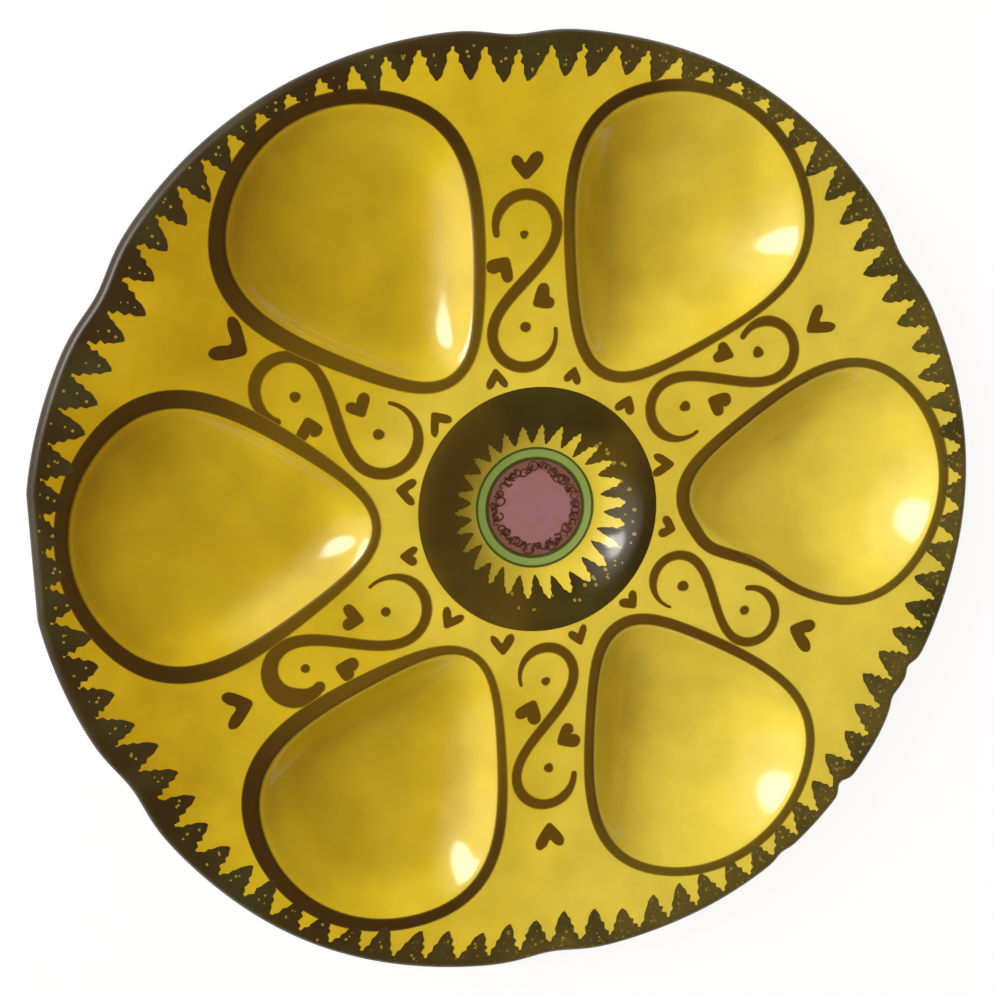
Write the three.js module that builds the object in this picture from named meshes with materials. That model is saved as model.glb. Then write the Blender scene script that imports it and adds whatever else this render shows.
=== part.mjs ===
// Oyster plate: a press-moulded faience plate with six oyster wells round a sauce well.
// Millimetres, +Z up. The origin is on the table under the middle of the foot ring,
// and +X runs along the middle line of the first oyster well.
import * as THREE from 'three';

// Rim
const RIM_RADIUS = 116.4;
const LOBE_RISE = 1.0;
const NOTCH_DEPTH = 1.6;
const NOTCH_HALF_WIDTH = 9;
const RIM_EDGE = 0.6;

// Clay and glaze
const CLAY_WALL = 4.6;
const GLAZE = 0.5;
const FACE_DISH = 0.8;
const LIP_WIDTH = 2.6;
const BACK_LIP_WIDTH = 9;
const BACK_GROWTH = 3;

// Oyster wells
const WELL_COUNT = 6;
const WELL_SAUCE_LAND = 9.5;
const WELL_SIDE_LAND = 11.8;
const WELL_TAPER = 8.2;
const WELL_DEPTH = 11;
const WELL_FULLNESS = 2.4;

// Sauce well
const SAUCE_RADIUS = 29.7;
const SAUCE_DEPTH = 6;
const SAUCE_FLOOR_RADIUS = 13.5;

// Foot ring
const FOOT_RADIUS = 59;
const FOOT_WIDTH = 5.5;
const FOOT_STAND = 3.6;
const FOOT_CHAMFER = 0.8;

// Painted decoration
const PAINT = 0.3;
const PAINT_SEAT = 0.3;
const PAINT_SPACING = 0.6;
const LINE_WIDTH = 3.4;
const RIM_BAND_WIDTH = 2;
const RIM_LINE_LAND = 2.1;
const RIM_TOOTH_LENGTH = 5.5;
const RIM_TEETH_PER_LOBE = 14;
const SCROLL_WIDTH = 2.6;
const SCROLL_SIDE_LAND = 1.4;
const SCROLL_LOOP_GAP = 7.6;
const SCROLL_SAUCE_LAND = 5.3;
const SCROLL_SWEEP = THREE.MathUtils.degToRad(235);
const SAUCE_BAND_WIDTH = 8.7;
const SAUCE_TOOTH_LENGTH = 4.2;
const SAUCE_TEETH = 24;
const GREEN_RING_LAND = 2.4;
const GREEN_RING_WIDTH = 2.6;

// Points along each outline
const RIM_POINTS = 60;
const WELL_POINTS = 24;
const SAUCE_POINTS = 36;
const ARC_STEPS = 11;
const TOOTH_STEP = 0.1;

// Sizes that follow from those
const sector = 2 * Math.PI / WELL_COUNT;
const lobeRadius = RIM_RADIUS + LOBE_RISE;
const rimRound = (CLAY_WALL - RIM_EDGE) / 2;
const wellTip = SAUCE_RADIUS + WELL_SAUCE_LAND;
const wellEnd = lobeRadius - rimRound - RIM_BAND_WIDTH - RIM_LINE_LAND - LINE_WIDTH;
const wellMiddle = (wellTip + wellEnd) / 2;
const wellHalfLength = (wellEnd - wellTip) / 2;
const wellMeanHalfWidth = wellMiddle * Math.sin(sector / 2) - WELL_SIDE_LAND;
const wellMeanRadius = (wellHalfLength + wellMeanHalfWidth) / 2;
const faceMiddle = FOOT_STAND + CLAY_WALL + 2 * GLAZE + WELL_DEPTH;
const footInner = FOOT_RADIUS - FOOT_WIDTH / 2;
const footOuter = FOOT_RADIUS + FOOT_WIDTH / 2;
const lineRatio = 1 + LINE_WIDTH / wellMeanRadius;
const lipInside = 1 - LIP_WIDTH / 2 / wellMeanRadius;
const sauceBandInner = SAUCE_RADIUS - SAUCE_BAND_WIDTH;
const greenRingOuter = sauceBandInner - SAUCE_TOOTH_LENGTH - GREEN_RING_LAND;
const greenRingInner = greenRingOuter - GREEN_RING_WIDTH;

// Shares of the cosine between which a well's tip widens into its broad end
const WIDEN_FROM = -1.1;
const WIDEN_TO = 0.7;

// Half width of the ellipse that the well's outline follows at one cosine along its length
function wellHalfWidth(cosine) {
  const share = THREE.MathUtils.smoothstep(cosine, WIDEN_FROM, WIDEN_TO);
  return wellMeanHalfWidth + THREE.MathUtils.lerp(-WELL_TAPER, WELL_TAPER, share);
}

// Point on a well's outline, drawn in or out about the well's middle by a ratio
function wellPoint(well, turn, ratio) {
  const along = wellMiddle + ratio * wellHalfLength * Math.cos(turn);
  const across = ratio * wellHalfWidth(Math.cos(turn)) * Math.sin(turn);
  return new THREE.Vector2(along, across).rotateAround(new THREE.Vector2(), well * sector);
}

// Ratio at which a scaled well outline passes through a point of the plate
function wellRatio(point) {
  const well = Math.round(point.angle() / sector);
  const local = point.clone().rotateAround(new THREE.Vector2(), -well * sector);
  const along = local.x - wellMiddle;
  const bearing = Math.atan2(Math.abs(local.y), along);
  let low = 0;
  let high = Math.PI;
  for (let step = 0; step < 40; step += 1) {
    const turn = (low + high) / 2;
    const across = wellHalfWidth(Math.cos(turn)) * Math.sin(turn);
    const reached = Math.atan2(across, wellHalfLength * Math.cos(turn));
    if (reached < bearing) low = turn;
    else high = turn;
  }
  const across = wellHalfWidth(Math.cos(low)) * Math.sin(low);
  const edge = Math.hypot(wellHalfLength * Math.cos(low), across);
  return Math.hypot(along, local.y) / edge;
}

// Depth of a rounded bowl at a ratio of its radius, with an eased lip.
// A fuller bowl has a flatter floor and a steeper wall.
function bowl(ratio, depth, fullness, radius, lipWidth) {
  const ease = fullness * lipWidth / 2 / radius;
  const fall = 1 - ratio ** fullness;
  if (fall >= ease) return depth * fall;
  if (fall <= -ease) return 0;
  return depth * (fall + ease) ** 2 / (4 * ease);
}

// Depth of the sauce well, which has a flat floor and a wall with a soft shoulder
function sauceDepth(point, growth) {
  const floor = SAUCE_FLOOR_RADIUS + growth;
  return SAUCE_DEPTH * (1 - THREE.MathUtils.smoothstep(point.length(), floor, SAUCE_RADIUS + growth));
}

function wellDepth(point, growth, lipWidth) {
  const radius = wellMeanRadius + growth;
  const ratio = wellRatio(point) * wellMeanRadius / radius;
  return bowl(ratio, WELL_DEPTH, WELL_FULLNESS, radius, lipWidth);
}

// Rim of six shallow lobes with a small notch between each two
function rimRadius(angle) {
  const fromNotch = (angle / sector - Math.floor(angle / sector) - 0.5) * sector * RIM_RADIUS;
  const notch = NOTCH_DEPTH * Math.exp(-((fromNotch / NOTCH_HALF_WIDTH) ** 2));
  return RIM_RADIUS + LOBE_RISE * Math.cos(WELL_COUNT * angle) - notch;
}

// Height lost to the rounding of the rim
function edgeDrop(point) {
  const inset = rimRadius(point.angle()) - point.length();
  const reach = Math.max(rimRound - inset, 0);
  return rimRound - Math.sqrt(Math.max(rimRound ** 2 - reach ** 2, 0));
}

function landHeight(point) {
  return faceMiddle + FACE_DISH * (point.length() / RIM_RADIUS) ** 2;
}

// Surfaces from the top down: glazed face, clay face, clay back, glazed back
function faceTop(point) {
  const sauce = sauceDepth(point, 0);
  const well = wellDepth(point, 0, LIP_WIDTH);
  return landHeight(point) - sauce - well - edgeDrop(point);
}

function clayTop(point) {
  return faceTop(point) - GLAZE;
}

function clayUnder(point) {
  const sauce = sauceDepth(point, BACK_GROWTH);
  const well = wellDepth(point, BACK_GROWTH, BACK_LIP_WIDTH);
  return landHeight(point) - GLAZE - CLAY_WALL - sauce - well + edgeDrop(point);
}

function backUnder(point) {
  return clayUnder(point) - GLAZE;
}

// Flat net of points and triangles, seen from above, that a layer is raised from
function newPlan() {
  return { points: [], triangles: [] };
}

function addRing(plan, ring) {
  const start = plan.points.length;
  plan.points.push(...ring);
  return { start, count: ring.length };
}

function addBand(plan, outer, inner) {
  for (let i = 0; i < outer.count; i += 1) {
    const next = (i + 1) % outer.count;
    plan.triangles.push([inner.start + i, outer.start + i, outer.start + next]);
    plan.triangles.push([inner.start + i, outer.start + next, inner.start + next]);
  }
}

function addFan(plan, ring, middle) {
  const hub = plan.points.length;
  plan.points.push(middle);
  for (let i = 0; i < ring.count; i += 1) {
    plan.triangles.push([hub, ring.start + i, ring.start + (i + 1) % ring.count]);
  }
}

function addRings(plan, rings) {
  const added = rings.map((ring) => addRing(plan, ring));
  for (let i = 1; i < added.length; i += 1) addBand(plan, added[i - 1], added[i]);
  return added;
}

function turnsOf(count) {
  return Array.from({ length: count }, (_, i) => 2 * Math.PI * i / count);
}

function polar(radius, angle) {
  return new THREE.Vector2(radius * Math.cos(angle), radius * Math.sin(angle));
}

function circle(radius, count) {
  return turnsOf(count).map((angle) => polar(radius, angle));
}

function rimRing(inset) {
  return turnsOf(RIM_POINTS).map((angle) => polar(rimRadius(angle) - inset, angle));
}

function wellRing(well, ratio) {
  return turnsOf(WELL_POINTS).map((turn) => wellPoint(well, turn, ratio));
}

// Net of the face: rings in every well, one net of land between them, and the rim's rounding
const RIM_INSETS = [0, 0.3 * rimRound, rimRound];
const WELL_RATIOS = [lineRatio, 1, lipInside, 0.8, 0.5];
const SAUCE_BAND_SHARES = [1, 0.66, 0.33, 0];
const SAUCE_FOOT_SHARES = [0.7, 0.35, 0];
const sauceBandRadii = SAUCE_BAND_SHARES.map((share) => sauceBandInner + share * SAUCE_BAND_WIDTH);
const sauceFootRadii = SAUCE_FOOT_SHARES.map((share) => (
  THREE.MathUtils.lerp(SAUCE_FLOOR_RADIUS, sauceBandInner, share)
));
const sauceRadii = [...sauceBandRadii, ...sauceFootRadii, SAUCE_FLOOR_RADIUS / 2];

function facePlan() {
  const plan = newPlan();
  const contour = addRings(plan, RIM_INSETS.map(rimRing)).at(-1);
  const sauce = addRings(plan, sauceRadii.map((radius) => circle(radius, SAUCE_POINTS)));
  addFan(plan, sauce.at(-1), new THREE.Vector2());
  const holes = [sauce[0]];
  for (let well = 0; well < WELL_COUNT; well += 1) {
    const rings = addRings(plan, WELL_RATIOS.map((ratio) => wellRing(well, ratio)));
    addFan(plan, rings.at(-1), wellPoint(well, 0, 0));
    holes.push(rings[0]);
  }
  addLand(plan, contour, holes);
  return plan;
}

function addLand(plan, contour, holes) {
  const loops = [contour, ...holes];
  const places = loops.flatMap((loop) => Array.from({ length: loop.count }, (_, i) => loop.start + i));
  const outlines = loops.map((loop) => plan.points.slice(loop.start, loop.start + loop.count));
  const faces = THREE.ShapeUtils.triangulateShape(outlines[0], outlines.slice(1));
  for (const face of faces) {
    const corners = face.map((i) => plan.points[places[i]]);
    const turned = THREE.ShapeUtils.area(corners) < 0;
    const [a, b, c] = face.map((i) => places[i]);
    plan.triangles.push(turned ? [a, c, b] : [a, b, c]);
  }
}

// Net of the back: circles, four of which are the edges of the foot ring
const FOOT_RADII = [footOuter, footOuter - FOOT_CHAMFER, footInner + FOOT_CHAMFER, footInner];
const BACK_INNER_SHARES = [1, 0.8, 0.6, 0.42, 0.22];
const BACK_OUTER_SHARES = [1, 0.82, 0.62, 0.42, 0.21, 0];

function footRings() {
  return FOOT_RADII.map((radius) => circle(radius, RIM_POINTS));
}

function backInnerRings() {
  return BACK_INNER_SHARES.map((share) => circle(share * footInner, RIM_POINTS));
}

function backOuterRings() {
  const rims = RIM_INSETS.slice(0, -1).map(rimRing);
  const contour = rimRing(rimRound);
  const foot = circle(footOuter, RIM_POINTS);
  const land = BACK_OUTER_SHARES.map((share) => contour.map((p, i) => foot[i].clone().lerp(p, share)));
  return [...rims, ...land];
}

function ringPlan(rings) {
  const plan = newPlan();
  addRings(plan, rings);
  return plan;
}

function discPlan(rings) {
  const plan = newPlan();
  addFan(plan, addRings(plan, rings).at(-1), new THREE.Vector2());
  return plan;
}

// Edges of a net that only one triangle uses, in the direction that it uses them
function borderOf(plan) {
  const edges = new Map();
  for (const [a, b, c] of plan.triangles) {
    for (const [from, to] of [[a, b], [b, c], [c, a]]) edges.set(`${from} ${to}`, [from, to]);
  }
  return [...edges.values()].filter(([from, to]) => !edges.has(`${to} ${from}`));
}

// Closed solid between a net at one height and a net at another, with one shared outer border
function solidBetween(upper, high, lower, low) {
  const shift = lower.points.length;
  const positions = lower.points.flatMap((p) => [p.x, p.y, low(p)]);
  positions.push(...upper.points.flatMap((p) => [p.x, p.y, high(p)]));
  const index = lower.triangles.flatMap(([a, b, c]) => [a, c, b]);
  index.push(...upper.triangles.flatMap((face) => face.map((i) => i + shift)));
  for (const [from, to] of borderOf(lower)) {
    index.push(from, to, to + shift, from, to + shift, from + shift);
  }
  const geometry = new THREE.BufferGeometry();
  geometry.setAttribute('position', new THREE.Float32BufferAttribute(positions, 3));
  geometry.setIndex(index);
  geometry.computeVertexNormals();
  return geometry;
}

// Painted layer that follows the glazed face
function paintLayer(plan) {
  const low = (point) => faceTop(point) + PAINT_SEAT;
  const high = (point) => low(point) + PAINT;
  return solidBetween(plan, high, plan, low);
}

// Standing face of the foot ring, with its two edges eased
function footUnder(point) {
  const toEdge = Math.min(footOuter - point.length(), point.length() - footInner);
  return FOOT_CHAMFER - THREE.MathUtils.clamp(toEdge, 0, FOOT_CHAMFER);
}

// Rim band: a solid edge with teeth that stop short of the lines round the wells
function rimBandPlan() {
  const plan = newPlan();
  const teeth = RIM_TEETH_PER_LOBE * WELL_COUNT;
  const outer = addRing(plan, turnsOf(teeth).map((angle) => polar(rimRadius(angle) - rimRound, angle)));
  const inner = addRing(plan, turnsOf(2 * teeth).map((angle, i) => rimToothPoint(angle, i % 2 === 1)));
  for (let i = 0; i < teeth; i += 1) {
    const next = (i + 1) % teeth;
    const valley = inner.start + 2 * i;
    const nextValley = inner.start + 2 * next;
    plan.triangles.push([valley, outer.start + i, valley + 1]);
    plan.triangles.push([outer.start + i, outer.start + next, valley + 1]);
    plan.triangles.push([valley + 1, outer.start + next, nextValley]);
  }
  return plan;
}

function rimToothPoint(angle, isTip) {
  const bandEdge = rimRadius(angle) - rimRound - RIM_BAND_WIDTH;
  if (!isTip) return polar(bandEdge, angle);
  const spacing = PAINT_SPACING / wellMeanRadius;
  let radius = bandEdge;
  while (radius > bandEdge - RIM_TOOTH_LENGTH && wellRatio(polar(radius, angle)) > lineRatio + spacing) {
    radius -= TOOTH_STEP;
  }
  return polar(radius, angle);
}

function wellLinePlan(well) {
  return ringPlan([wellRing(well, lineRatio), wellRing(well, 1)]);
}

// Half of the land between the painted lines of two wells, at its narrowest
function halfLand() {
  const across = new THREE.Vector2(Math.sin(sector / 2), -Math.cos(sector / 2));
  return Math.min(...wellRing(0, lineRatio).map((point) => point.dot(across)));
}

// Double scroll: two loops joined by the straight line that crosses between them
function scrollPlan(index) {
  const loop = halfLand() - SCROLL_WIDTH / 2 - SCROLL_SIDE_LAND;
  const halfSpan = loop + SCROLL_LOOP_GAP / 2;
  const middle = SAUCE_RADIUS + SCROLL_SAUCE_LAND + SCROLL_WIDTH / 2 + loop + halfSpan;
  const arrive = Math.PI / 2 + Math.asin(loop / halfSpan);
  const half = [];
  for (let step = 0; step <= ARC_STEPS; step += 1) {
    const angle = arrive - SCROLL_SWEEP * (1 - step / ARC_STEPS);
    half.push(polar(loop, -angle).add(new THREE.Vector2(halfSpan, 0)));
  }
  const otherHalf = half.map((point) => point.clone().negate()).reverse();
  const path = [...half, ...otherHalf].map((point) => point.add(new THREE.Vector2(middle, 0)));
  const turned = path.map((point) => point.rotateAround(new THREE.Vector2(), (index + 0.5) * sector));
  return strokePlan(turned, SCROLL_WIDTH);
}

function strokePlan(path, width) {
  const plan = newPlan();
  path.forEach((point, i) => {
    const before = path[Math.max(i - 1, 0)];
    const after = path[Math.min(i + 1, path.length - 1)];
    const ahead = after.clone().sub(before).setLength(width / 2);
    const side = new THREE.Vector2(-ahead.y, ahead.x);
    plan.points.push(point.clone().add(side), point.clone().sub(side));
  });
  for (let i = 0; i + 3 < plan.points.length; i += 2) {
    plan.triangles.push([i, i + 1, i + 3], [i, i + 3, i + 2]);
  }
  return plan;
}

// Sauce well band: it follows the wall down and ends in teeth that point inwards
function sauceBandPlan() {
  const count = 2 * SAUCE_TEETH;
  const rings = sauceBandRadii.map((radius) => circle(radius, count));
  const teeth = turnsOf(count).map((angle, i) => {
    const length = i % 2 === 1 ? SAUCE_TOOTH_LENGTH : PAINT_SPACING;
    return polar(sauceBandInner - length, angle);
  });
  return ringPlan([...rings, teeth]);
}

function greenRingPlan() {
  return ringPlan([circle(greenRingOuter, SAUCE_POINTS), circle(greenRingInner, SAUCE_POINTS)]);
}

function rosettePlan() {
  const radius = greenRingInner - PAINT_SPACING;
  return discPlan([circle(radius, SAUCE_POINTS), circle(radius / 2, SAUCE_POINTS)]);
}

// Materials
const biscuit = new THREE.MeshStandardMaterial({ color: '#dfcfb0', roughness: 0.9, metalness: 0 });
const yellowGlaze = new THREE.MeshStandardMaterial({ color: '#d9b832', roughness: 0.15, metalness: 0 });
const brownPaint = new THREE.MeshStandardMaterial({ color: '#4b3212', roughness: 0.2, metalness: 0 });
const blackPaint = new THREE.MeshStandardMaterial({ color: '#2e2610', roughness: 0.2, metalness: 0 });
const greenPaint = new THREE.MeshStandardMaterial({ color: '#87a050', roughness: 0.2, metalness: 0 });
const mauvePaint = new THREE.MeshStandardMaterial({ color: '#a06978', roughness: 0.2, metalness: 0 });

const group = new THREE.Group();

function addPiece(name, geometry, material) {
  const piece = new THREE.Mesh(geometry, material);
  piece.name = name;
  group.add(piece);
}

// Clay and its glaze
const face = facePlan();
const back = discPlan([...backOuterRings(), ...footRings().slice(1, -1), ...backInnerRings()]);
const backOuter = ringPlan(backOuterRings());
const backInner = discPlan(backInnerRings());
const foot = ringPlan(footRings());
addPiece('biscuit_body', solidBetween(face, clayTop, back, clayUnder), biscuit);
addPiece('foot_ring', solidBetween(foot, clayUnder, foot, footUnder), biscuit);
addPiece('face_glaze', solidBetween(face, faceTop, face, clayTop), yellowGlaze);
addPiece('back_glaze', solidBetween(backOuter, clayUnder, backOuter, backUnder), yellowGlaze);
addPiece('back_glaze_inside_foot', solidBetween(backInner, clayUnder, backInner, backUnder), yellowGlaze);

// Painted decoration
addPiece('rim_band', paintLayer(rimBandPlan()), blackPaint);
for (let well = 0; well < WELL_COUNT; well += 1) {
  addPiece(`well_line_${well + 1}`, paintLayer(wellLinePlan(well)), brownPaint);
}
for (let index = 0; index < WELL_COUNT; index += 1) {
  addPiece(`scroll_${index + 1}`, paintLayer(scrollPlan(index)), brownPaint);
}
addPiece('sauce_band', paintLayer(sauceBandPlan()), blackPaint);
addPiece('green_ring', paintLayer(greenRingPlan()), greenPaint);
addPiece('rosette_disc', paintLayer(rosettePlan()), mauvePaint);

export default group;
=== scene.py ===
import math
import random
from collections import namedtuple
import bpy
import numpy as np
from mathutils import Matrix, Vector
from mathutils.geometry import tessellate_polygon


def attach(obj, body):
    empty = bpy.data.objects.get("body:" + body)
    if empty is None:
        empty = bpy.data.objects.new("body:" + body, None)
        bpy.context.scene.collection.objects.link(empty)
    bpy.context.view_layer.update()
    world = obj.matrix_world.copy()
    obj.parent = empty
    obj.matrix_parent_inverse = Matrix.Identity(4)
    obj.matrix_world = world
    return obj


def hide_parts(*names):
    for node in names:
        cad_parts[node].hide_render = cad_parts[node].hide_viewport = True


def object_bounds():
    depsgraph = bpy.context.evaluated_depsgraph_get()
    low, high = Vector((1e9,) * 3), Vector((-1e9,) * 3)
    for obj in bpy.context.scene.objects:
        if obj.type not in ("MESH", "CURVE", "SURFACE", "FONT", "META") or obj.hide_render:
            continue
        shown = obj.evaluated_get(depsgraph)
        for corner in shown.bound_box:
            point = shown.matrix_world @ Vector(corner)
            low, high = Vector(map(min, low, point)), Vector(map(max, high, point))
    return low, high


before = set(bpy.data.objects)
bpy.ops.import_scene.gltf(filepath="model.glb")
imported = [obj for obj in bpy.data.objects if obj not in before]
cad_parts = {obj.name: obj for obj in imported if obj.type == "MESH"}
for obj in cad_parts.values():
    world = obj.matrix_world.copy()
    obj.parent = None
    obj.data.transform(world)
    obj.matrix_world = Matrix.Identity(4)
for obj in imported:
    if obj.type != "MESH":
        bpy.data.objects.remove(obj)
cad_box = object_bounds()

# Biscuit body
# The plate itself: one pressing of buff earthenware, six oyster wells round a sauce well in a lobed rim.
# Clay is pressed over a mould and fired once, so no two wells are quite alike. Glaze then covers it all.
MM = 0.001
PAINT_ROOM = 0.15
LOBE_RISE = 1.0
NOTCH_DEPTH = 1.6
NOTCH_HALF_WIDTH = 9
RIM_ROUND = 2.0
RIM_EDGE = 1.6
CLAY_WALL = 4.6
GLAZE = 0.5
FACE_MIDDLE = 20.2
FACE_DISH = 0.8
LIP_WIDTH = 2.6
BACK_LIP_WIDTH = 9
BACK_GROWTH = 3
WELL_COUNT = 6
WELL_TIP = 39.2
WELL_END = 107.9
WELL_MEAN_HALF_WIDTH = 25.0
WELL_TAPER = 8.2
WELL_DEPTH = 11
WELL_FULLNESS = 2.4
WIDEN_FROM = -1.1
WIDEN_TO = 0.7
HALVINGS = 32
TINY = 1e-9
SAUCE_RADIUS = 29.7
SAUCE_DEPTH = 6
SAUCE_FLOOR_RADIUS = 15.0
SAUCE_SHIFT = np.array((1.3, 0.2))
WAVE_HEIGHT = 0.05
WAVE_LENGTHS = (47.0, 31.0, 23.0)
WAVE_PHASES = (1.0, 2.0)
WAVE_SHARES = (0.4, 0.2)
BISCUIT_BUFF = "#d0b48c"
BISCUIT_SHADE = "#b3936a"
GROG_HEIGHT = 0.05
GROG_STRENGTH = 0.4
PATCH_DETAIL = 2.0
BARE_ROUGHNESS = 0.85
BISCUIT_STEPS = 240
BISCUIT_RINGS = 90
BISCUIT_LAST_RADIUS = 0.5
SECTOR = 2 * math.pi / WELL_COUNT
RIM_RADIUS = cad_box[1].x / MM - LOBE_RISE - PAINT_ROOM
RIM_ROOM = (cad_box[1].x / MM - PAINT_ROOM, cad_box[1].y / MM - PAINT_ROOM)
WELL_MIDDLE = (WELL_TIP + WELL_END) / 2
WELL_HALF_LENGTH = (WELL_END - WELL_TIP) / 2
WELL_MEAN_RADIUS = (WELL_HALF_LENGTH + WELL_MEAN_HALF_WIDTH) / 2

# How far each hand-pressed well strays: millimetres outwards and anticlockwise, degrees turned, and size
WELL_STRAYS = np.array((
    (0.5, 0.3, 0.5, 0.99),
    (0.3, -0.8, -1.8, 1.016),
    (-0.4, 0.1, 1.2, 0.986),
    (0.9, -0.4, -1.5, 1.008),
    (0.0, 0.0, -3.6, 1.008),
    (-1.3, 1.6, -1.6, 0.989),
))

# How deep and how full each well was pressed
WELL_PRESSING = np.array(((13.2, 2.6), (13.0, 2.1), (8.2, 3.7), (8.0, 3.6), (10.6, 2.6), (13.2, 2.5)))

# How the rim warped in firing: for one, two and three swings round the plate, along x and along y
RIM_SHRINK = 0.4
RIM_WARPS = ((-1.0, -0.4), (0.6, 0.85), (0.0, 0.3))

# Small dents in the rim: degrees, depth and half width
RIM_DENTS = ((118.0, 0.8, 30), (-26.3, 1.3, 2.2), (-31.0, 0.6, 2.5), (-44.5, 1.9, 2.2), (-56.5, 0.7, 2.5))

# Patches in a material: millimetres across, and the noise values at which they start and are full
SHADE_PATCHES = (14, 0.35, 0.7)
GROG_PATCHES = (0.9, 0.5, 0.75)


def smooth_share(value, low, high):
    """Share from 0 to 1 between two values, eased at both ends."""
    share = np.clip((value - low) / (high - low), 0, 1)
    return share * share * (3 - 2 * share)


def turned(x, y, angle):
    """Point turned about the middle by an angle."""
    return x * np.cos(angle) - y * np.sin(angle), x * np.sin(angle) + y * np.cos(angle)


def ways(angles):
    """Unit steps away from the middle at given angles."""
    return np.stack((np.cos(angles), np.sin(angles)), axis=-1)


def turn_from(degrees, angles):
    """Turn from a bearing to each angle, the short way round."""
    return (angles - math.radians(degrees) + math.pi) % (2 * math.pi) - math.pi


def well_half_width(cosine):
    share = smooth_share(cosine, WIDEN_FROM, WIDEN_TO)
    return WELL_MEAN_HALF_WIDTH + WELL_TAPER * (2 * share - 1)


def well_outline(well, turns, ratio):
    """Points on a well's outline, drawn in or out about the well's middle by a ratio."""
    outwards, sideways, degrees, size = WELL_STRAYS[well]
    along = ratio * size * WELL_HALF_LENGTH * np.cos(turns)
    across = ratio * size * well_half_width(np.cos(turns)) * np.sin(turns)
    along, across = turned(along, across, math.radians(degrees))
    x, y = turned(along + WELL_MIDDLE + outwards, across + sideways, well * SECTOR)
    return np.stack((x, y), axis=-1)


def in_well(x, y):
    """Nearest well of a point, and the point along and across that well from its middle."""
    well = np.round(np.arctan2(y, x) / SECTOR).astype(int) % WELL_COUNT
    outwards, sideways, degrees, size = np.moveaxis(WELL_STRAYS[well], -1, 0)
    along, across = turned(x, y, -well * SECTOR)
    along, across = turned(along - WELL_MIDDLE - outwards, across - sideways, -np.radians(degrees))
    return well, along / size, across / size


def well_ratio(x, y):
    """Ratio at which a scaled well outline passes through a point of the plate."""
    _, along, across = in_well(x, y)
    bearing = np.arctan2(np.abs(across), along)
    low = np.zeros_like(bearing)
    high = np.full_like(bearing, math.pi)
    for _ in range(HALVINGS):
        turn = (low + high) / 2
        reached = np.arctan2(well_half_width(np.cos(turn)) * np.sin(turn), WELL_HALF_LENGTH * np.cos(turn))
        low = np.where(reached < bearing, turn, low)
        high = np.where(reached < bearing, high, turn)
    edge = np.hypot(WELL_HALF_LENGTH * np.cos(low), well_half_width(np.cos(low)) * np.sin(low))
    return np.hypot(along, across) / edge


def pressing(x, y):
    """Depth and fullness to which the clay was pressed in the nearest well."""
    return np.moveaxis(WELL_PRESSING[in_well(x, y)[0]], -1, 0)


def bowl(ratio, depth, fullness, radius, lip_width):
    """Depth of a rounded bowl at a ratio of its radius, with an eased lip."""
    ease = fullness * lip_width / 2 / radius
    fall = 1 - ratio ** fullness
    eased = depth * np.clip(fall + ease, 0, None) ** 2 / (4 * ease)
    return np.where(fall >= ease, depth * fall, eased)


def hollows(x, y, growth, lip_width, depth=WELL_DEPTH, fullness=WELL_FULLNESS):
    """Depth of the wells and the sauce well at a point, grown by a distance for the back."""
    from_sauce = np.hypot(x - SAUCE_SHIFT[0], y - SAUCE_SHIFT[1])
    well_radius = WELL_MEAN_RADIUS + growth
    shrunk_ratio = well_ratio(x, y) * WELL_MEAN_RADIUS / well_radius
    sauce = SAUCE_DEPTH * (1 - smooth_share(from_sauce, SAUCE_FLOOR_RADIUS + growth, SAUCE_RADIUS + growth))
    return sauce + bowl(shrunk_ratio, depth, fullness, well_radius, lip_width)


def rim_radius(angle):
    """Rim of six shallow lobes with a small notch between each two."""
    from_notch = (angle / SECTOR - np.floor(angle / SECTOR) - 0.5) * SECTOR * RIM_RADIUS
    inset = NOTCH_DEPTH * np.exp(-((from_notch / NOTCH_HALF_WIDTH) ** 2))
    for degrees, depth, half_width in RIM_DENTS:
        away = turn_from(degrees, angle) * RIM_RADIUS
        inset = inset + depth * np.exp(-((away / half_width) ** 2))
    warp = -RIM_SHRINK
    for swing, (along_x, along_y) in enumerate(RIM_WARPS, 1):
        warp = warp + along_x * np.cos(swing * angle) + along_y * np.sin(swing * angle)
    radius = RIM_RADIUS + LOBE_RISE * np.cos(WELL_COUNT * angle) - inset + warp
    room_x = RIM_ROOM[0] / np.abs(np.cos(angle) + TINY)
    room_y = RIM_ROOM[1] / np.abs(np.sin(angle) + TINY)
    return np.minimum(radius, np.minimum(room_x, room_y))


def edge_drop(x, y):
    """Fall of the face over the rounded edge of the rim."""
    inset = rim_radius(np.arctan2(y, x)) - np.hypot(x, y)
    reach = np.clip(RIM_ROUND - inset, 0, RIM_ROUND)
    return RIM_ROUND - np.sqrt(RIM_ROUND ** 2 - reach ** 2)


def land_height(x, y):
    return FACE_MIDDLE + FACE_DISH * (np.hypot(x, y) / RIM_RADIUS) ** 2


def hand_waves(x, y):
    """Slow unevenness of a hand-pressed face, which bends its reflections."""
    first, second, third = (2 * math.pi / length for length in WAVE_LENGTHS)
    level = np.sin(first * x + WAVE_PHASES[0]) * np.cos(first * y)
    slanted = np.sin(second * (x + y)) * np.cos(second * y + WAVE_PHASES[1])
    fine = np.sin(third * x - third * y)
    return -WAVE_HEIGHT * (1 + WAVE_SHARES[0] * (level + slanted) + WAVE_SHARES[1] * fine)


def face_top(x, y):
    wells = hollows(x, y, 0, LIP_WIDTH, *pressing(x, y))
    return land_height(x, y) - wells - edge_drop(x, y) + hand_waves(x, y)


def clay_top(x, y):
    return face_top(x, y) - GLAZE


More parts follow.
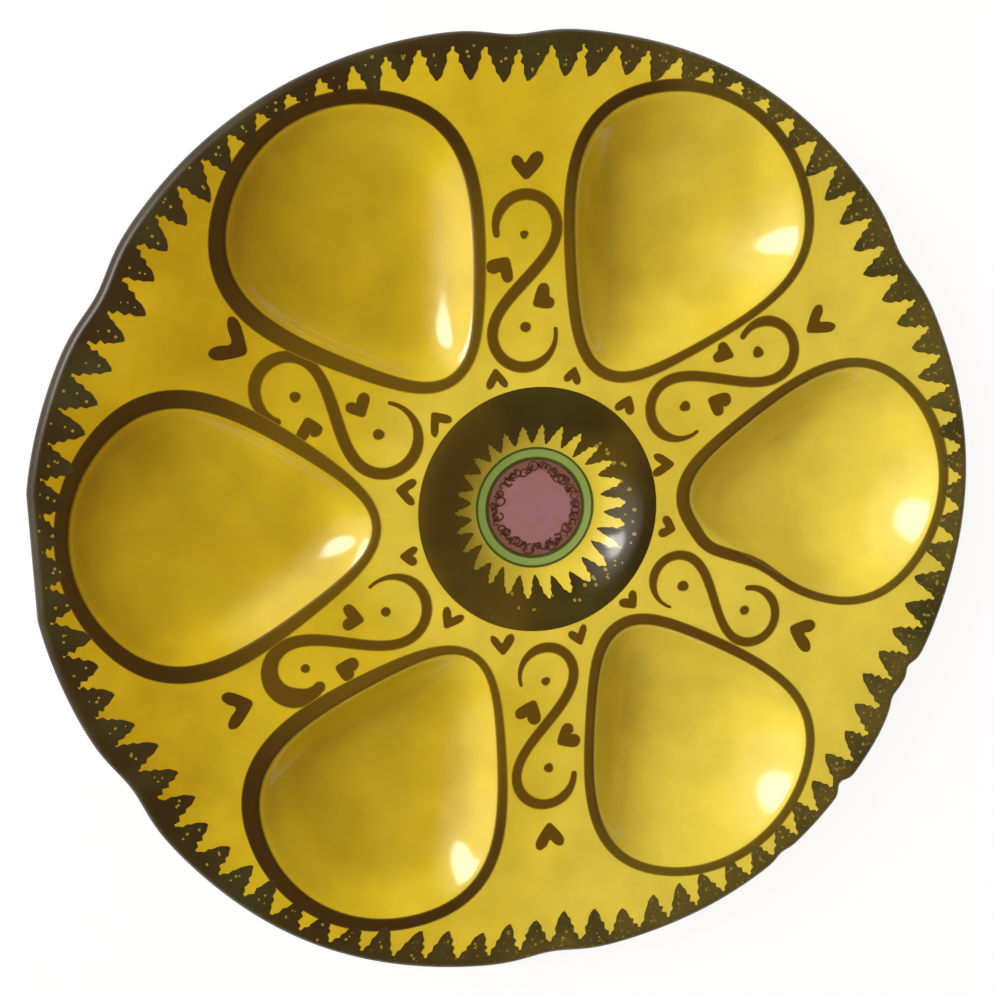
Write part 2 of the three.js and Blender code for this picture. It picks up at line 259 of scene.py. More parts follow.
def clay_under(x, y):
    flat_back = land_height(x, y) - GLAZE - CLAY_WALL
    return flat_back - hollows(x, y, BACK_GROWTH, BACK_LIP_WIDTH) + edge_drop(x, y)


def edge_height(x, y):
    """Height of the middle of the upright edge of the rim."""
    return land_height(x, y) - RIM_ROUND - RIM_EDGE / 2


def around(count):
    return np.arange(count) * 2 * math.pi / count


def surface(insets, count, height):
    """Rings of points at given insets from the rim, at the heights that a function gives."""
    angles = around(count)
    radii = rim_radius(angles)[None, :] - np.asarray(insets)[:, None]
    return raised(radii, angles, height)


def raised(radii, angles, height):
    """Points at given radii and angles, at the heights that a function gives."""
    x = radii * np.cos(angles)
    y = radii * np.sin(angles)
    return np.stack((x, y, height(x, y)), axis=-1)


def shares_of_rim(count, last):
    """Insets that run from the rounded edge to a last radius at the lobes, in even steps."""
    return np.linspace(RIM_ROUND, RIM_RADIUS - last, count)


def rounded_insets(count):
    return RIM_ROUND * (1 - np.cos(np.linspace(0, math.pi / 2, count)))


def inwards(rim_rings, radius_from, radius_to, count, height):
    """Adds rings that pass from a rim's last ring into true circles further in."""
    angles = around(rim_rings.shape[1])
    first = np.hypot(rim_rings[-1, :, 0], rim_rings[-1, :, 1])
    shares = np.linspace(0, 1, count)[1:, None]
    radii = (1 - shares) * (first - radius_from) + radius_from + shares * (radius_to - radius_from)
    return np.concatenate((rim_rings, raised(radii, angles, height)))


def ring_faces(outer, inner, count):
    """Faces between two rings of points, each given by its first point."""
    here = np.arange(count)
    ahead = (here + 1) % count
    return np.stack((outer + here, outer + ahead, inner + ahead, inner + here), axis=1).tolist()


def shell(upper, lower, has_middle):
    """Closed solid between two sets of rings. Rings run inwards, and a middle closes the last ones."""
    count = upper.shape[1]
    points = np.concatenate((upper.reshape(-1, 3), lower.reshape(-1, 3)))
    shift = upper.shape[0] * count
    last_upper = shift - count
    last_lower = len(points) - count
    faces = []
    for outer in range(0, last_upper, count):
        faces += ring_faces(outer, outer + count, count)
    for outer in range(shift, last_lower, count):
        faces += ring_faces(outer + count, outer, count)
    here = np.arange(count)
    ahead = (here + 1) % count
    faces += np.stack((here, shift + here, shift + ahead, ahead), axis=1).tolist()
    if not has_middle:
        return points, faces + ring_faces(last_upper, last_lower, count)
    hub = len(points)
    points = np.concatenate((points, upper[-1].mean(axis=0)[None], lower[-1].mean(axis=0)[None]))
    faces += np.stack((last_upper + here, last_upper + ahead, np.full(count, hub)), axis=1).tolist()
    faces += np.stack((last_lower + ahead, last_lower + here, np.full(count, hub + 1)), axis=1).tolist()
    return points, faces


def make_piece(name, points, faces, material, slot, *nodes):
    mesh = bpy.data.meshes.new(name)
    mesh.from_pydata((np.asarray(points) * MM).tolist(), [], faces)
    mesh.shade_smooth()
    mesh.materials.append(material)
    piece = bpy.data.objects.new(name, mesh)
    bpy.context.scene.collection.objects.link(piece)
    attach(piece, "root")
    if nodes:
        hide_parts(*nodes)
    return piece


def colour(hex_code):
    """Linear colour from an sRGB hex value."""
    values = [int(hex_code[place:place + 2], 16) / 255 for place in (1, 3, 5)]
    return [v / 12.92 if v <= 0.04045 else ((v + 0.055) / 1.055) ** 2.4 for v in values] + [1.0]


def add_node(tree, kind, inputs=None, **settings):
    """Adds a node. Each input is a socket to link, a hex colour or a plain value.

    A colour mix takes its share as input 0 and its colours as inputs 6 and 7, and gives output 2.
    """
    node = tree.nodes.new(kind)
    for key, value in settings.items():
        setattr(node, key, value)
    for key, value in (inputs or {}).items():
        if isinstance(value, bpy.types.NodeSocket):
            tree.links.new(value, node.inputs[key])
        else:
            node.inputs[key].default_value = colour(value) if isinstance(value, str) else value
    return node


def new_material(name):
    material = bpy.data.materials.new(name)
    material.use_nodes = True
    tree = material.node_tree
    tree.nodes.clear()
    place = add_node(tree, "ShaderNodeTexCoord").outputs["Object"]
    return material, tree, place


def finish_material(tree, **sockets):
    inputs = {name.replace("_", " "): value for name, value in sockets.items()}
    shader = add_node(tree, "ShaderNodeBsdfPrincipled", inputs)
    add_node(tree, "ShaderNodeOutputMaterial", {"Surface": shader.outputs["BSDF"]})


def patches(tree, place, size_mm, low, high):
    """Soft patches of a real size, from 0 to 1, as a socket."""
    grain = {"Vector": place, "Scale": 1 / (size_mm * MM), "Detail": PATCH_DETAIL}
    noise = add_node(tree, "ShaderNodeTexNoise", grain).outputs["Fac"]
    spread = {"Value": noise, "From Min": low, "From Max": high}
    return add_node(tree, "ShaderNodeMapRange", spread, interpolation_type="SMOOTHSTEP").outputs["Result"]


def fired_earthenware():
    """Unglazed earthenware: matt, with fine grog and faint firing shades."""
    material, tree, place = new_material("fired_earthenware")
    shades = {0: patches(tree, place, *SHADE_PATCHES), 6: BISCUIT_BUFF, 7: BISCUIT_SHADE}
    base = add_node(tree, "ShaderNodeMix", shades, data_type="RGBA").outputs[2]
    grains = patches(tree, place, *GROG_PATCHES)
    grog = {"Height": grains, "Strength": GROG_STRENGTH, "Distance": GROG_HEIGHT * MM}
    bump = add_node(tree, "ShaderNodeBump", grog).outputs["Normal"]
    finish_material(tree, Base_Color=base, Roughness=BARE_ROUGHNESS, Normal=bump)
    return material


clay_insets = np.concatenate(([GLAZE], shares_of_rim(BISCUIT_RINGS, BISCUIT_LAST_RADIUS)))
clay_upper = surface(clay_insets, BISCUIT_STEPS, clay_top)
clay_lower = surface(clay_insets, BISCUIT_STEPS, clay_under)
biscuit = fired_earthenware()
make_piece("biscuit_body", *shell(clay_upper, clay_lower, True), biscuit, "biscuit", "biscuit_body")

# Foot ring
# A ring of the same clay, luted on under the wells and turned true, which the plate stands on.
# Its walls take the glaze, and its standing face is wiped bare before the second firing.
FOOT_RADIUS = 59
FOOT_WIDTH = 5.5
FOOT_TAPER = 0.5
FOOT_EDGE_ROUND = 0.8
FOOT_WALL_LOW = 1.28
FOOT_BURY = 1.0
FOOT_STEPS = 360
FOOT_PATCHES = (9, 0.35, 0.7)
FOOT_GLAZE_ROUGHNESS = 0.12
GLAZE_LINE = 1.4
GLAZE_LINE_SOFT = 0.15
CREEP_PATCHES = (6, 0.2, 0.8)
CREEP_RISE = 0.8
QUARTER_BENDS = np.linspace(0, math.pi / 2, 6)
GLAZE_AMBER = "#ad8c0a"


def foot_profile():
    """Radius and height pairs, from the outer wall's top down, across the standing face and up again."""
    half = FOOT_WIDTH / 2 - FOOT_TAPER
    walls = [(FOOT_WIDTH / 2, None), (half, FOOT_WALL_LOW)]
    for bend in QUARTER_BENDS:
        inset = FOOT_EDGE_ROUND * (1 - math.cos(bend))
        walls.append((half - inset, FOOT_EDGE_ROUND * (1 - math.sin(bend))))
    return [(FOOT_RADIUS + r, z) for r, z in walls] + [(FOOT_RADIUS - r, z) for r, z in reversed(walls)]


def foot_solid():
    angles = around(FOOT_STEPS)
    rings = []
    for radius, height in foot_profile():
        ring = raised(np.full((1, FOOT_STEPS), radius), angles, clay_under)[0]
        ring[:, 2] = ring[:, 2] + FOOT_BURY if height is None else height
        rings.append(ring)
    lower = np.stack(rings)
    return shell(np.stack((rings[0], rings[-1])), lower[1:-1], False)


def foot_earthenware():
    """Bare clay on the standing face, with glaze that stops in an uneven line just above it."""
    material, tree, place = new_material("foot_earthenware")
    height = add_node(tree, "ShaderNodeSeparateXYZ", {"Vector": place}).outputs["Z"]
    creep = {0: patches(tree, place, *CREEP_PATCHES), 1: CREEP_RISE * MM, 2: height}
    lifted = add_node(tree, "ShaderNodeMath", creep, operation="MULTIPLY_ADD").outputs["Value"]
    ends = {"Value": lifted, "From Min": GLAZE_LINE * MM, "From Max": (GLAZE_LINE + GLAZE_LINE_SOFT) * MM}
    glazed = add_node(tree, "ShaderNodeMapRange", ends).outputs["Result"]
    shades = {0: patches(tree, place, *FOOT_PATCHES), 6: BISCUIT_BUFF, 7: BISCUIT_SHADE}
    bare = add_node(tree, "ShaderNodeMix", shades, data_type="RGBA").outputs[2]
    coat = {0: glazed, 6: bare, 7: GLAZE_AMBER}
    base = add_node(tree, "ShaderNodeMix", coat, data_type="RGBA").outputs[2]
    gloss = {"Value": glazed, "To Min": BARE_ROUGHNESS, "To Max": FOOT_GLAZE_ROUGHNESS}
    rough = add_node(tree, "ShaderNodeMapRange", gloss).outputs["Result"]
    finish_material(tree, Base_Color=base, Roughness=rough)
    return material


make_piece("foot_ring", *foot_solid(), foot_earthenware(), "biscuit", "foot_ring")

# Glaze
# A glossy yellow tin glaze, dipped over the face, round the rim and over the back, and fused in the kiln.
# It runs thin on the lips and pools in the wells. Its colour clouds from amber to pale lemon across the
# plate as painted shade and sheen, and painted shade deepens it low in the wells and on one side of the
# sauce well.
FACE_STEPS = 420
FACE_RINGS = 138
UNDER_RINGS = 70
MIDDLE_RADIUS = 0.4
ROUND_RINGS = 9
BACK_STEPS = 360
BACK_RINGS = 80
FOOT_FILLET = 1.4
CLOUD_MM = 34
CLOUD_DETAIL = 3.0
CLOUD_DRIFT_MM = 150
# Line across the plate along which painted shade and light change the colours
SHADE_SWEEP = (0.95, -0.31, 0)
THIN_RING = (52, 34)
MOTTLE_MM = 13
MOTTLE_DETAIL = 4.0
MOTTLE_RANGE = (0.3, 0.7)
# Glaze pooled low in the wells, and painted shade there: heights where it starts and is full, and its most
POOL_AND_SHADE_HEIGHTS = (17.5, 13)
POOL_AND_SHADE_SHARE = 0.45
# Painted shade on one side of the sauce well, where its wall faces away from the light: radii, sides and
# most
SAUCE_SHADE_RING = (30, 22)
SAUCE_SHADE_SIDE = (12, -16)
SAUCE_SHADE_MOST = 0.75
AMBER_SIDE = (-115, -40)
LEMON_SIDE = (-40, 80)
LEMON_MOST = 0.7
MOTTLE_SHADES = (0.9, 1.09)
RIPPLE_PATCHES = (7, 0.3, 0.7)
RIPPLE_HEIGHT = 0.04
RIPPLE_STRENGTH = 0.3
GLAZE_ROUGHNESS = 0.13
GLAZE_IOR = 1.5
GLAZE_YELLOW = "#ccb020"
GLAZE_LEMON = "#dfca4a"
GLAZE_POOLED_AND_SHADED = "#9c7d0a"
GLAZE_SAUCE_SHADE = "#7f6d22"


def back_top(x, y):
    """Glazed back, with glaze pooled in the corners along the foot ring."""
    from_foot = np.abs(np.hypot(x, y) - FOOT_RADIUS) - FOOT_WIDTH / 2
    reach = np.clip(FOOT_FILLET - np.clip(from_foot, 0, None), 0, FOOT_FILLET)
    pooled = FOOT_FILLET - np.sqrt(FOOT_FILLET ** 2 - reach ** 2)
    return clay_under(x, y) - GLAZE - pooled


def along_shade_sweep(tree, place):
    """Distance from the middle of the plate along the line across which painted shade and light change, as
    a socket.
    """
    line = {0: place, 1: SHADE_SWEEP}
    return add_node(tree, "ShaderNodeVectorMath", line, operation="DOT_PRODUCT").outputs["Value"]


def across_plate(tree, place, from_mm, to_mm):
    """Share from 0 to 1 across the plate along that line, made uneven by slow clouds, as a socket: it
    carries painted shade and light from one side of the plate to the other.
    """
    grain = {"Vector": place, "Scale": 1 / (CLOUD_MM * MM), "Detail": CLOUD_DETAIL}
    cloud = add_node(tree, "ShaderNodeTexNoise", grain).outputs["Fac"]
    drift = {0: cloud, 1: CLOUD_DRIFT_MM * MM, 2: along_shade_sweep(tree, place)}
    moved = add_node(tree, "ShaderNodeMath", drift, operation="MULTIPLY_ADD").outputs["Value"]
    half_drift = CLOUD_DRIFT_MM / 2
    ends = {"Value": moved, "From Min": (from_mm + half_drift) * MM, "From Max": (to_mm + half_drift) * MM}
    return add_node(tree, "ShaderNodeMapRange", ends, interpolation_type="SMOOTHSTEP").outputs["Result"]


def by_radius(tree, place, from_mm, to_mm, most=1.0):
    """Share that rises from 0 at one distance from the middle to its most at another, as a socket."""
    level = {0: place, 1: (1, 1, 0)}
    flat = add_node(tree, "ShaderNodeVectorMath", level, operation="MULTIPLY").outputs["Vector"]
    away = add_node(tree, "ShaderNodeVectorMath", {0: flat}, operation="LENGTH").outputs["Value"]
    ends = {"Value": away, "From Min": from_mm * MM, "From Max": to_mm * MM, "To Max": most}
    return add_node(tree, "ShaderNodeMapRange", ends, interpolation_type="SMOOTHSTEP").outputs["Result"]


def glaze_base(tree, place):
    """Yellow that changes from amber on one side of the plate to lemon on the other, as painted shade and
    sheen, and is lemon round the sauce well.

    It darkens where the face lies low, partly glaze pooled in the wells and partly painted shade, and on
    one side of the sauce well painted shade dulls it.
    """
    height = add_node(tree, "ShaderNodeSeparateXYZ", {"Vector": place}).outputs["Z"]
    shallow, bottom = (level * MM for level in POOL_AND_SHADE_HEIGHTS)
    ends = {"Value": height, "From Min": shallow, "From Max": bottom, "To Max": POOL_AND_SHADE_SHARE}
    deep = add_node(tree, "ShaderNodeMapRange", ends, interpolation_type="SMOOTHSTEP").outputs["Result"]
    pale = {0: across_plate(tree, place, *LEMON_SIDE), 1: by_radius(tree, place, *THIN_RING, LEMON_MOST)}
    thin = add_node(tree, "ShaderNodeMath", pale, operation="MAXIMUM").outputs["Value"]
    # Painted shade on the side of the sauce well whose wall faces away from the light
    side = along_shade_sweep(tree, place)
    from_side, to_side = (distance * MM for distance in SAUCE_SHADE_SIDE)
    ends = {"Value": side, "From Min": from_side, "From Max": to_side, "To Max": SAUCE_SHADE_MOST}
    sauce_shade_side = add_node(tree, "ShaderNodeMapRange", ends, interpolation_type="SMOOTHSTEP").outputs["Result"]
    sauce_shade_parts = {0: by_radius(tree, place, *SAUCE_SHADE_RING), 1: sauce_shade_side}
    sauce_shade = add_node(tree, "ShaderNodeMath", sauce_shade_parts, operation="MULTIPLY").outputs["Value"]
    # Painted shade and sheen take the glaze from amber to lemon across the plate
    coats = (
        (across_plate(tree, place, *AMBER_SIDE), GLAZE_YELLOW),
        (deep, GLAZE_POOLED_AND_SHADED),
        (thin, GLAZE_LEMON),
        (sauce_shade, GLAZE_SAUCE_SHADE),
    )
    even = GLAZE_AMBER
    for share, coat in coats:
        even = add_node(tree, "ShaderNodeMix", {0: share, 6: even, 7: coat}, data_type="RGBA").outputs[2]
    grain = {"Vector": place, "Scale": 1 / (MOTTLE_MM * MM), "Detail": MOTTLE_DETAIL}
    noise = add_node(tree, "ShaderNodeTexNoise", grain).outputs["Fac"]
    low, high = MOTTLE_RANGE
    dark, light = MOTTLE_SHADES
    spread = {"Value": noise, "From Min": low, "From Max": high, "To Min": dark, "To Max": light}
    mottle = add_node(tree, "ShaderNodeMapRange", spread).outputs["Result"]
    return add_node(tree, "ShaderNodeHueSaturation", {"Value": mottle, "Color": even}).outputs["Color"]


def tin_glaze():
    """Tin glaze: opaque yellow glass, clouded, with a wet shine and the faint ripple of a dipped coat."""
    material, tree, place = new_material("yellow_tin_glaze")
    uneven = patches(tree, place, *RIPPLE_PATCHES)
    ripple = {"Height": uneven, "Strength": RIPPLE_STRENGTH, "Distance": RIPPLE_HEIGHT * MM}
    bump = add_node(tree, "ShaderNodeBump", ripple).outputs["Normal"]
    base = glaze_base(tree, place)
    finish_material(tree, Base_Color=base, Roughness=GLAZE_ROUGHNESS, IOR=GLAZE_IOR, Normal=bump)
    return material


glaze = tin_glaze()
face_insets = np.concatenate((rounded_insets(ROUND_RINGS), shares_of_rim(FACE_RINGS, MIDDLE_RADIUS)[1:]))
face_edge = surface([0], FACE_STEPS, edge_height)
face_upper = np.concatenate((face_edge, surface(face_insets, FACE_STEPS, face_top)))
under_insets = np.concatenate(([GLAZE], shares_of_rim(UNDER_RINGS, MIDDLE_RADIUS)))
under_edge = surface([GLAZE], FACE_STEPS, edge_height)
face_lower = np.concatenate((under_edge, surface(under_insets, FACE_STEPS, clay_top)))
make_piece("face_glaze", *shell(face_upper, face_lower, True), glaze, "yellow_glaze", "face_glaze")

foot_outer = FOOT_RADIUS + FOOT_WIDTH / 2
foot_inner = FOOT_RADIUS - FOOT_WIDTH / 2
back_edge = surface([0], BACK_STEPS, edge_height)
back_rim = np.concatenate((back_edge, surface(rounded_insets(ROUND_RINGS), BACK_STEPS, back_top)))
back_lower = inwards(back_rim, RIM_RADIUS - RIM_ROUND, foot_outer, BACK_RINGS, back_top)
clay_edge = surface([GLAZE], BACK_STEPS, edge_height)
clay_rim = np.concatenate((clay_edge, surface([GLAZE], BACK_STEPS, clay_under)))
back_upper = inwards(clay_rim, RIM_RADIUS - GLAZE, foot_outer, BACK_RINGS, clay_under)
make_piece("back_glaze", *shell(back_upper, back_lower, False), glaze, "yellow_glaze", "back_glaze")

inner_radii = np.linspace(foot_inner, MIDDLE_RADIUS, BACK_RINGS)[:, None] * np.ones((1, BACK_STEPS))
inner_upper = raised(inner_radii, around(BACK_STEPS), clay_under)
inner_lower = raised(inner_radii, around(BACK_STEPS), back_top)
inner_coat = shell(inner_upper, inner_lower, True)
make_piece("back_glaze_inside_foot", *inner_coat, glaze, "yellow_glaze", "back_glaze_inside_foot")

# Lines round the wells
# One brown line along the lip of each well, drawn in colour on the raw glaze and fired into it.
# Each was drawn in one go with a full brush, so its width wanders, and its edges bleed into the yellow.
LINE_STEPS = 240
LINE_LIFT = 0.09
PAINT_LIFT = 0.06
PAINT_SINK = 0.3
BLEED = 0.3
BLEED_SHARE = 0.3
ACROSS = np.array((-1, -0.86, -0.66, -0.4, -0.15, 0.15, 0.4, 0.66, 0.86, 1))
# Browns of the lines at their broad and inner ends, darker on one side of the plate as painted shade and
# olive on the other as painted sheen
PAINT_DARK = "#3a2404"
PAINT_BROWN = "#644c08"
PAINT_OLIVE = "#625011"
PAINT_UMBER = "#583c06"
BLED_PAINT = 0.55
PAINT_ROUGHNESS = 0.12
LINE_INNER_END = (96, 60)
LINE_OLIVE_SIDE = (-10, 80)
LINE_WANDER = 0.06
LINE_WAVES = 5
SLOPE_STEP = 0.03
Paint = namedtuple("Paint", "surface normals faces edge")
hand = random.Random(7)

# Width of each line at the broad end, at the tip, and on the anticlockwise and clockwise sides
LINE_WIDTHS = (
    (2.7, 3.6, 2.7, 2.3),
    (3.0, 2.9, 3.0, 2.2),
    (3.4, 2.6, 4.2, 3.5),
    (3.4, 2.2, 4.0, 4.3),
    (3.6, 2.2, 2.8, 4.4),
    (2.4, 3.1, 2.5, 2.7),
)

# Where the brush swayed off the lip of the first well: degrees, millimetres outwards and half width
LINE_SWAYS = ((-145, 1.2, 11), (-117, -1.5, 12))


def face_points(plan):
    """Points of a flat plan laid on the glazed face, with the face's normals there."""
    x, y = np.asarray(plan, float).T
    along_x = (face_top(x + SLOPE_STEP, y) - face_top(x - SLOPE_STEP, y)) / (2 * SLOPE_STEP)
    along_y = (face_top(x, y + SLOPE_STEP) - face_top(x, y - SLOPE_STEP)) / (2 * SLOPE_STEP)
    normals = np.stack((-along_x, -along_y, np.ones_like(x)), axis=-1)
    return np.stack((x, y, face_top(x, y)), axis=-1), normals / np.linalg.norm(normals, axis=1)[:, None]


def wander(count, amount, waves):
    """Slow seeded change of a brush's width round a closed line or along an open one."""
    turn = around(count)
    total = np.zeros(count)
    for wave in range(1, waves + 1):
        total += hand.uniform(-1, 1) * np.sin(wave * turn + hand.uniform(0, 2 * math.pi))
    return 1 + amount * total / math.sqrt(waves)


def left_of(path, closed):
    """Unit steps to the left of a path at each of its points."""
    ahead = np.roll(path, -1, axis=0) - np.roll(path, 1, axis=0) if closed else np.gradient(path, axis=0)
    ahead = ahead / np.linalg.norm(ahead, axis=1)[:, None]
    return np.stack((-ahead[:, 1], ahead[:, 0]), axis=1)


def brush_line(path, widths, closed):
    """A brush stroke of changing width along a path, soft at its sides."""
    count = len(path)
    side = left_of(path, closed)
    plan = path[:, None, :] + side[:, None, :] * (widths[:, None] / 2 * ACROSS[None, :])[..., None]
    half_widths = widths[:, None] / 2
    bleed = np.minimum(BLEED, BLEED_SHARE * half_widths)
    edge = np.clip((1 - np.abs(ACROSS))[None, :] * half_widths / bleed, 0, 1)
    wide = len(ACROSS)
    faces = []
    for here in range(count if closed else count - 1):
        next_row = (here + 1) % count
        for lane in range(wide - 1):
            a = here * wide + lane
            b = next_row * wide + lane
            faces.append((a, b, b + 1, a + 1))
    points, normals = face_points(plan.reshape(-1, 2))
    return Paint(points, normals, faces, edge.reshape(-1))


def joined(parts):
    """Several touches of paint as one."""
    shift = 0
    faces = []
    for part in parts:
        faces += [tuple(corner + shift for corner in face) for face in part.faces]
        shift += len(part.surface)
    points = np.concatenate([part.surface for part in parts])
    normals = np.concatenate([part.normals for part in parts])
    edge = np.concatenate([part.edge for part in parts])
    return Paint(points, normals, faces, edge)


def painted_piece(name, paint, material, slot, *nodes, lift=PAINT_LIFT):
    """Closed thin layer that follows the face: top a little proud of the glaze, underside sunk in it."""
    count = len(paint.surface)
    top = paint.surface + paint.normals * lift
    under = paint.surface - paint.normals * PAINT_SINK
    edges = {}
    for face in paint.faces:
        for start, end in zip(face, face[1:] + face[:1]):
            edges[(start, end)] = True
    border = [pair for pair in edges if (pair[1], pair[0]) not in edges]
    faces = list(paint.faces) + [tuple(corner + count for corner in reversed(face)) for face in paint.faces]
    faces += [(end, start, start + count, end + count) for start, end in border]
    piece = make_piece(name, np.concatenate((top, under)), faces, material, slot, *nodes)
    both_normals = np.concatenate((paint.normals, paint.normals))
    piece.data.normals_split_custom_set_from_vertices(both_normals.tolist())
    soft = piece.data.attributes.new("edge", "FLOAT", "POINT")
    soft.data.foreach_set("value", np.concatenate((paint.edge, paint.edge)).astype(np.float32))
    return piece


def beside(path, distances):
    """Closed path moved outwards by a distance at each point."""
    return path - left_of(path, True) * distances[:, None]


def fired_colour(name, shade, ground=None):
    """Colour fired into the glaze: as glossy as the glaze, and bled at its edges."""
    material, tree, place = new_material(name)
    paint = shade(tree, place)
    washed = {0: BLED_PAINT, 6: ground or glaze_base(tree, place), 7: paint}
    bled = add_node(tree, "ShaderNodeMix", washed, data_type="RGBA").outputs[2]
    edge = add_node(tree, "ShaderNodeAttribute", attribute_name="edge").outputs["Fac"]
    cover = add_node(tree, "ShaderNodeMapRange", {"Value": edge}, interpolation_type="SMOOTHSTEP")
    covered = {0: cover.outputs["Result"], 6: bled, 7: paint}
    base = add_node(tree, "ShaderNodeMix", covered, data_type="RGBA").outputs[2]
    finish_material(tree, Base_Color=base, Roughness=PAINT_ROUGHNESS, IOR=GLAZE_IOR)
    return material


def glaze_colour(name, left, right, from_mm, to_mm, ground=None):
    """Fired colour that changes across the plate between two given colours; where they differ, the change
    is painted shade and light.
    """
    def shade(tree, place):
        ends = {0: across_plate(tree, place, from_mm, to_mm), 6: left, 7: right}
        return add_node(tree, "ShaderNodeMix", ends, data_type="RGBA").outputs[2]
    return fired_colour(name, shade, ground)


def line_shades(tree, place):
    """Brown, dark at the broad ends on one side of the plate and olive on the other; the change across the
    plate is painted shade and sheen.
    """
    inner = by_radius(tree, place, *LINE_INNER_END)
    ends = []
    for broad_end, inner_end in ((PAINT_DARK, PAINT_BROWN), (PAINT_OLIVE, PAINT_UMBER)):
        shades = {0: inner, 6: broad_end, 7: inner_end}
        ends.append(add_node(tree, "ShaderNodeMix", shades, data_type="RGBA").outputs[2])
    sides = {0: across_plate(tree, place, *LINE_OLIVE_SIDE), 6: ends[0], 7: ends[1]}
    return add_node(tree, "ShaderNodeMix", sides, data_type="RGBA").outputs[2]


def sway(well, turns):
    """Distance by which a line strays outwards from the lip of its well."""
    shift = np.zeros_like(turns)
    for degrees, distance, half_width in LINE_SWAYS if well == 0 else ():
        away = turn_from(degrees, turns) / math.radians(half_width)
        shift += distance * np.exp(-(away ** 2))
    return shift


brown_paint = fired_colour("manganese_brown", line_shades)
for well, (broad, tip, left, right) in enumerate(LINE_WIDTHS):
    turns = around(LINE_STEPS)
    ends_over_sides = (broad + tip - left - right) / 4
    even_widths = (broad + tip + left + right) / 4 + ends_over_sides * np.cos(2 * turns)
    even_widths += (broad - tip) / 2 * np.cos(turns) + (left - right) / 2 * np.sin(turns)
    line_widths = even_widths * wander(LINE_STEPS, LINE_WANDER, LINE_WAVES)
    from_lip = line_widths / 2 + sway(well, turns)
    line = brush_line(beside(well_outline(well, turns, 1), from_lip), line_widths, True)
    name = f"well_line_{well + 1}"
    painted_piece(name, line, brown_paint, "brown_paint", name, lift=LINE_LIFT)

# Scrolls
# A double scroll on the land between each two wells, in the same brown, from a finer brush.
# The outer loop starts on the anticlockwise side, crosses the middle line and curls into the inner loop.
Scroll = namedtuple("Scroll", "outer_along outer_across outer_radius outer_end"
                              " inner_along inner_across inner_radius inner_end width heavy_hook")
SCROLLS = (
    Scroll(70.5, 0.1, 7.3, 118, 44.0, 0.6, 7.5, 276, 2.8, 1.0),
    Scroll(68.0, -0.7, 7.5, 101, 42.8, 0.8, 7.8, 276, 2.9, 1.0),
    Scroll(66.5, 0.1, 7.7, 98, 41.4, 0.3, 8.4, 286, 3.0, 1.0),
    Scroll(68.0, -1.0, 6.7, 106, 41.5, 0.3, 8.2, 280, 2.7, 1.9),
    Scroll(66.5, 0.2, 7.4, 86, 40.9, 1.6, 6.9, 286, 2.7, 1.0),
    Scroll(63.4, 0.7, 7.0, 123, 42.0, 0.3, 6.7, 278, 2.5, 1.0),
)
LOOP_STEPS = 46
CROSS_STEPS = 30
CAP_STEPS = 6
LEAVE_EARLY = math.radians(37)
CROSS_PULL = 0.3
SET_DOWN_WIDTH = 0.6
SET_DOWN_STEPS = 0.3 * LOOP_STEPS
LIFT_OFF_WIDTH = 0.35
LIFT_OFF_STEPS = 0.5 * LOOP_STEPS
HOOK_FADE_STEPS = (0.3 * LOOP_STEPS, 1.3 * LOOP_STEPS)
CAP_STOP = 0.05
SCROLL_SIDES = (-80, 80)
STROKE_WANDER = 0.06
STROKE_WAVES = 4
SCROLL_BROWN = "#5d4404"
SCROLL_UMBER = "#5e4305"


def scroll_path(scroll):
    """Outer loop, flowing crossing and inner loop, along and across the middle line of the land."""
    outer = np.array((scroll.outer_along, scroll.outer_across))
    inner = np.array((scroll.inner_along, scroll.inner_across))
    apart = inner - outer
    lean = math.acos((scroll.outer_radius + scroll.inner_radius) / np.linalg.norm(apart))
    leave = math.atan2(apart[1], apart[0]) % (2 * math.pi) + lean - 2 * math.pi + LEAVE_EARLY
    outer_turns = np.linspace(math.radians(scroll.outer_end), leave, LOOP_STEPS)
    inner_turns = np.linspace(leave + math.pi, math.radians(scroll.inner_end), LOOP_STEPS)
    outer_loop = outer + scroll.outer_radius * ways(outer_turns)
    inner_loop = inner + scroll.inner_radius * ways(inner_turns)
    start = outer_loop[-1]
    finish = inner_loop[0]
    pull = CROSS_PULL * np.linalg.norm(finish - start) * np.array((math.sin(leave), -math.cos(leave)))
    ahead = np.linspace(0, 1, CROSS_STEPS)[1:-1, None]
    back = 1 - ahead
    first_half = back ** 3 * start + 3 * back ** 2 * ahead * (start + pull)
    crossing = first_half + 3 * back * ahead ** 2 * (finish - pull) + ahead ** 3 * finish
    return np.concatenate((outer_loop, crossing, inner_loop))


def round_ends(path, widths):
    """Adds half-round ends to an open stroke and narrows it there."""
    bends = np.linspace(0, math.pi / 2 - CAP_STOP, CAP_STEPS)[1:]
    caps = []
    for end, before in ((0, 1), (-1, -2)):
        ahead = (path[end] - path[before]) / np.linalg.norm(path[end] - path[before])
        cap_path = path[end] + np.sin(bends)[:, None] * ahead * widths[end] / 2
        caps.append((cap_path, widths[end] * np.cos(bends)))
    (first_path, first_widths), (last_path, last_widths) = caps
    capped_path = np.concatenate((first_path[::-1], path, last_path))
    return capped_path, np.concatenate((first_widths[::-1], widths, last_widths))


def on_plate(local, middle_angle):
    x, y = turned(local[..., 0], local[..., 1], middle_angle)
    return np.stack((x, y), axis=-1)


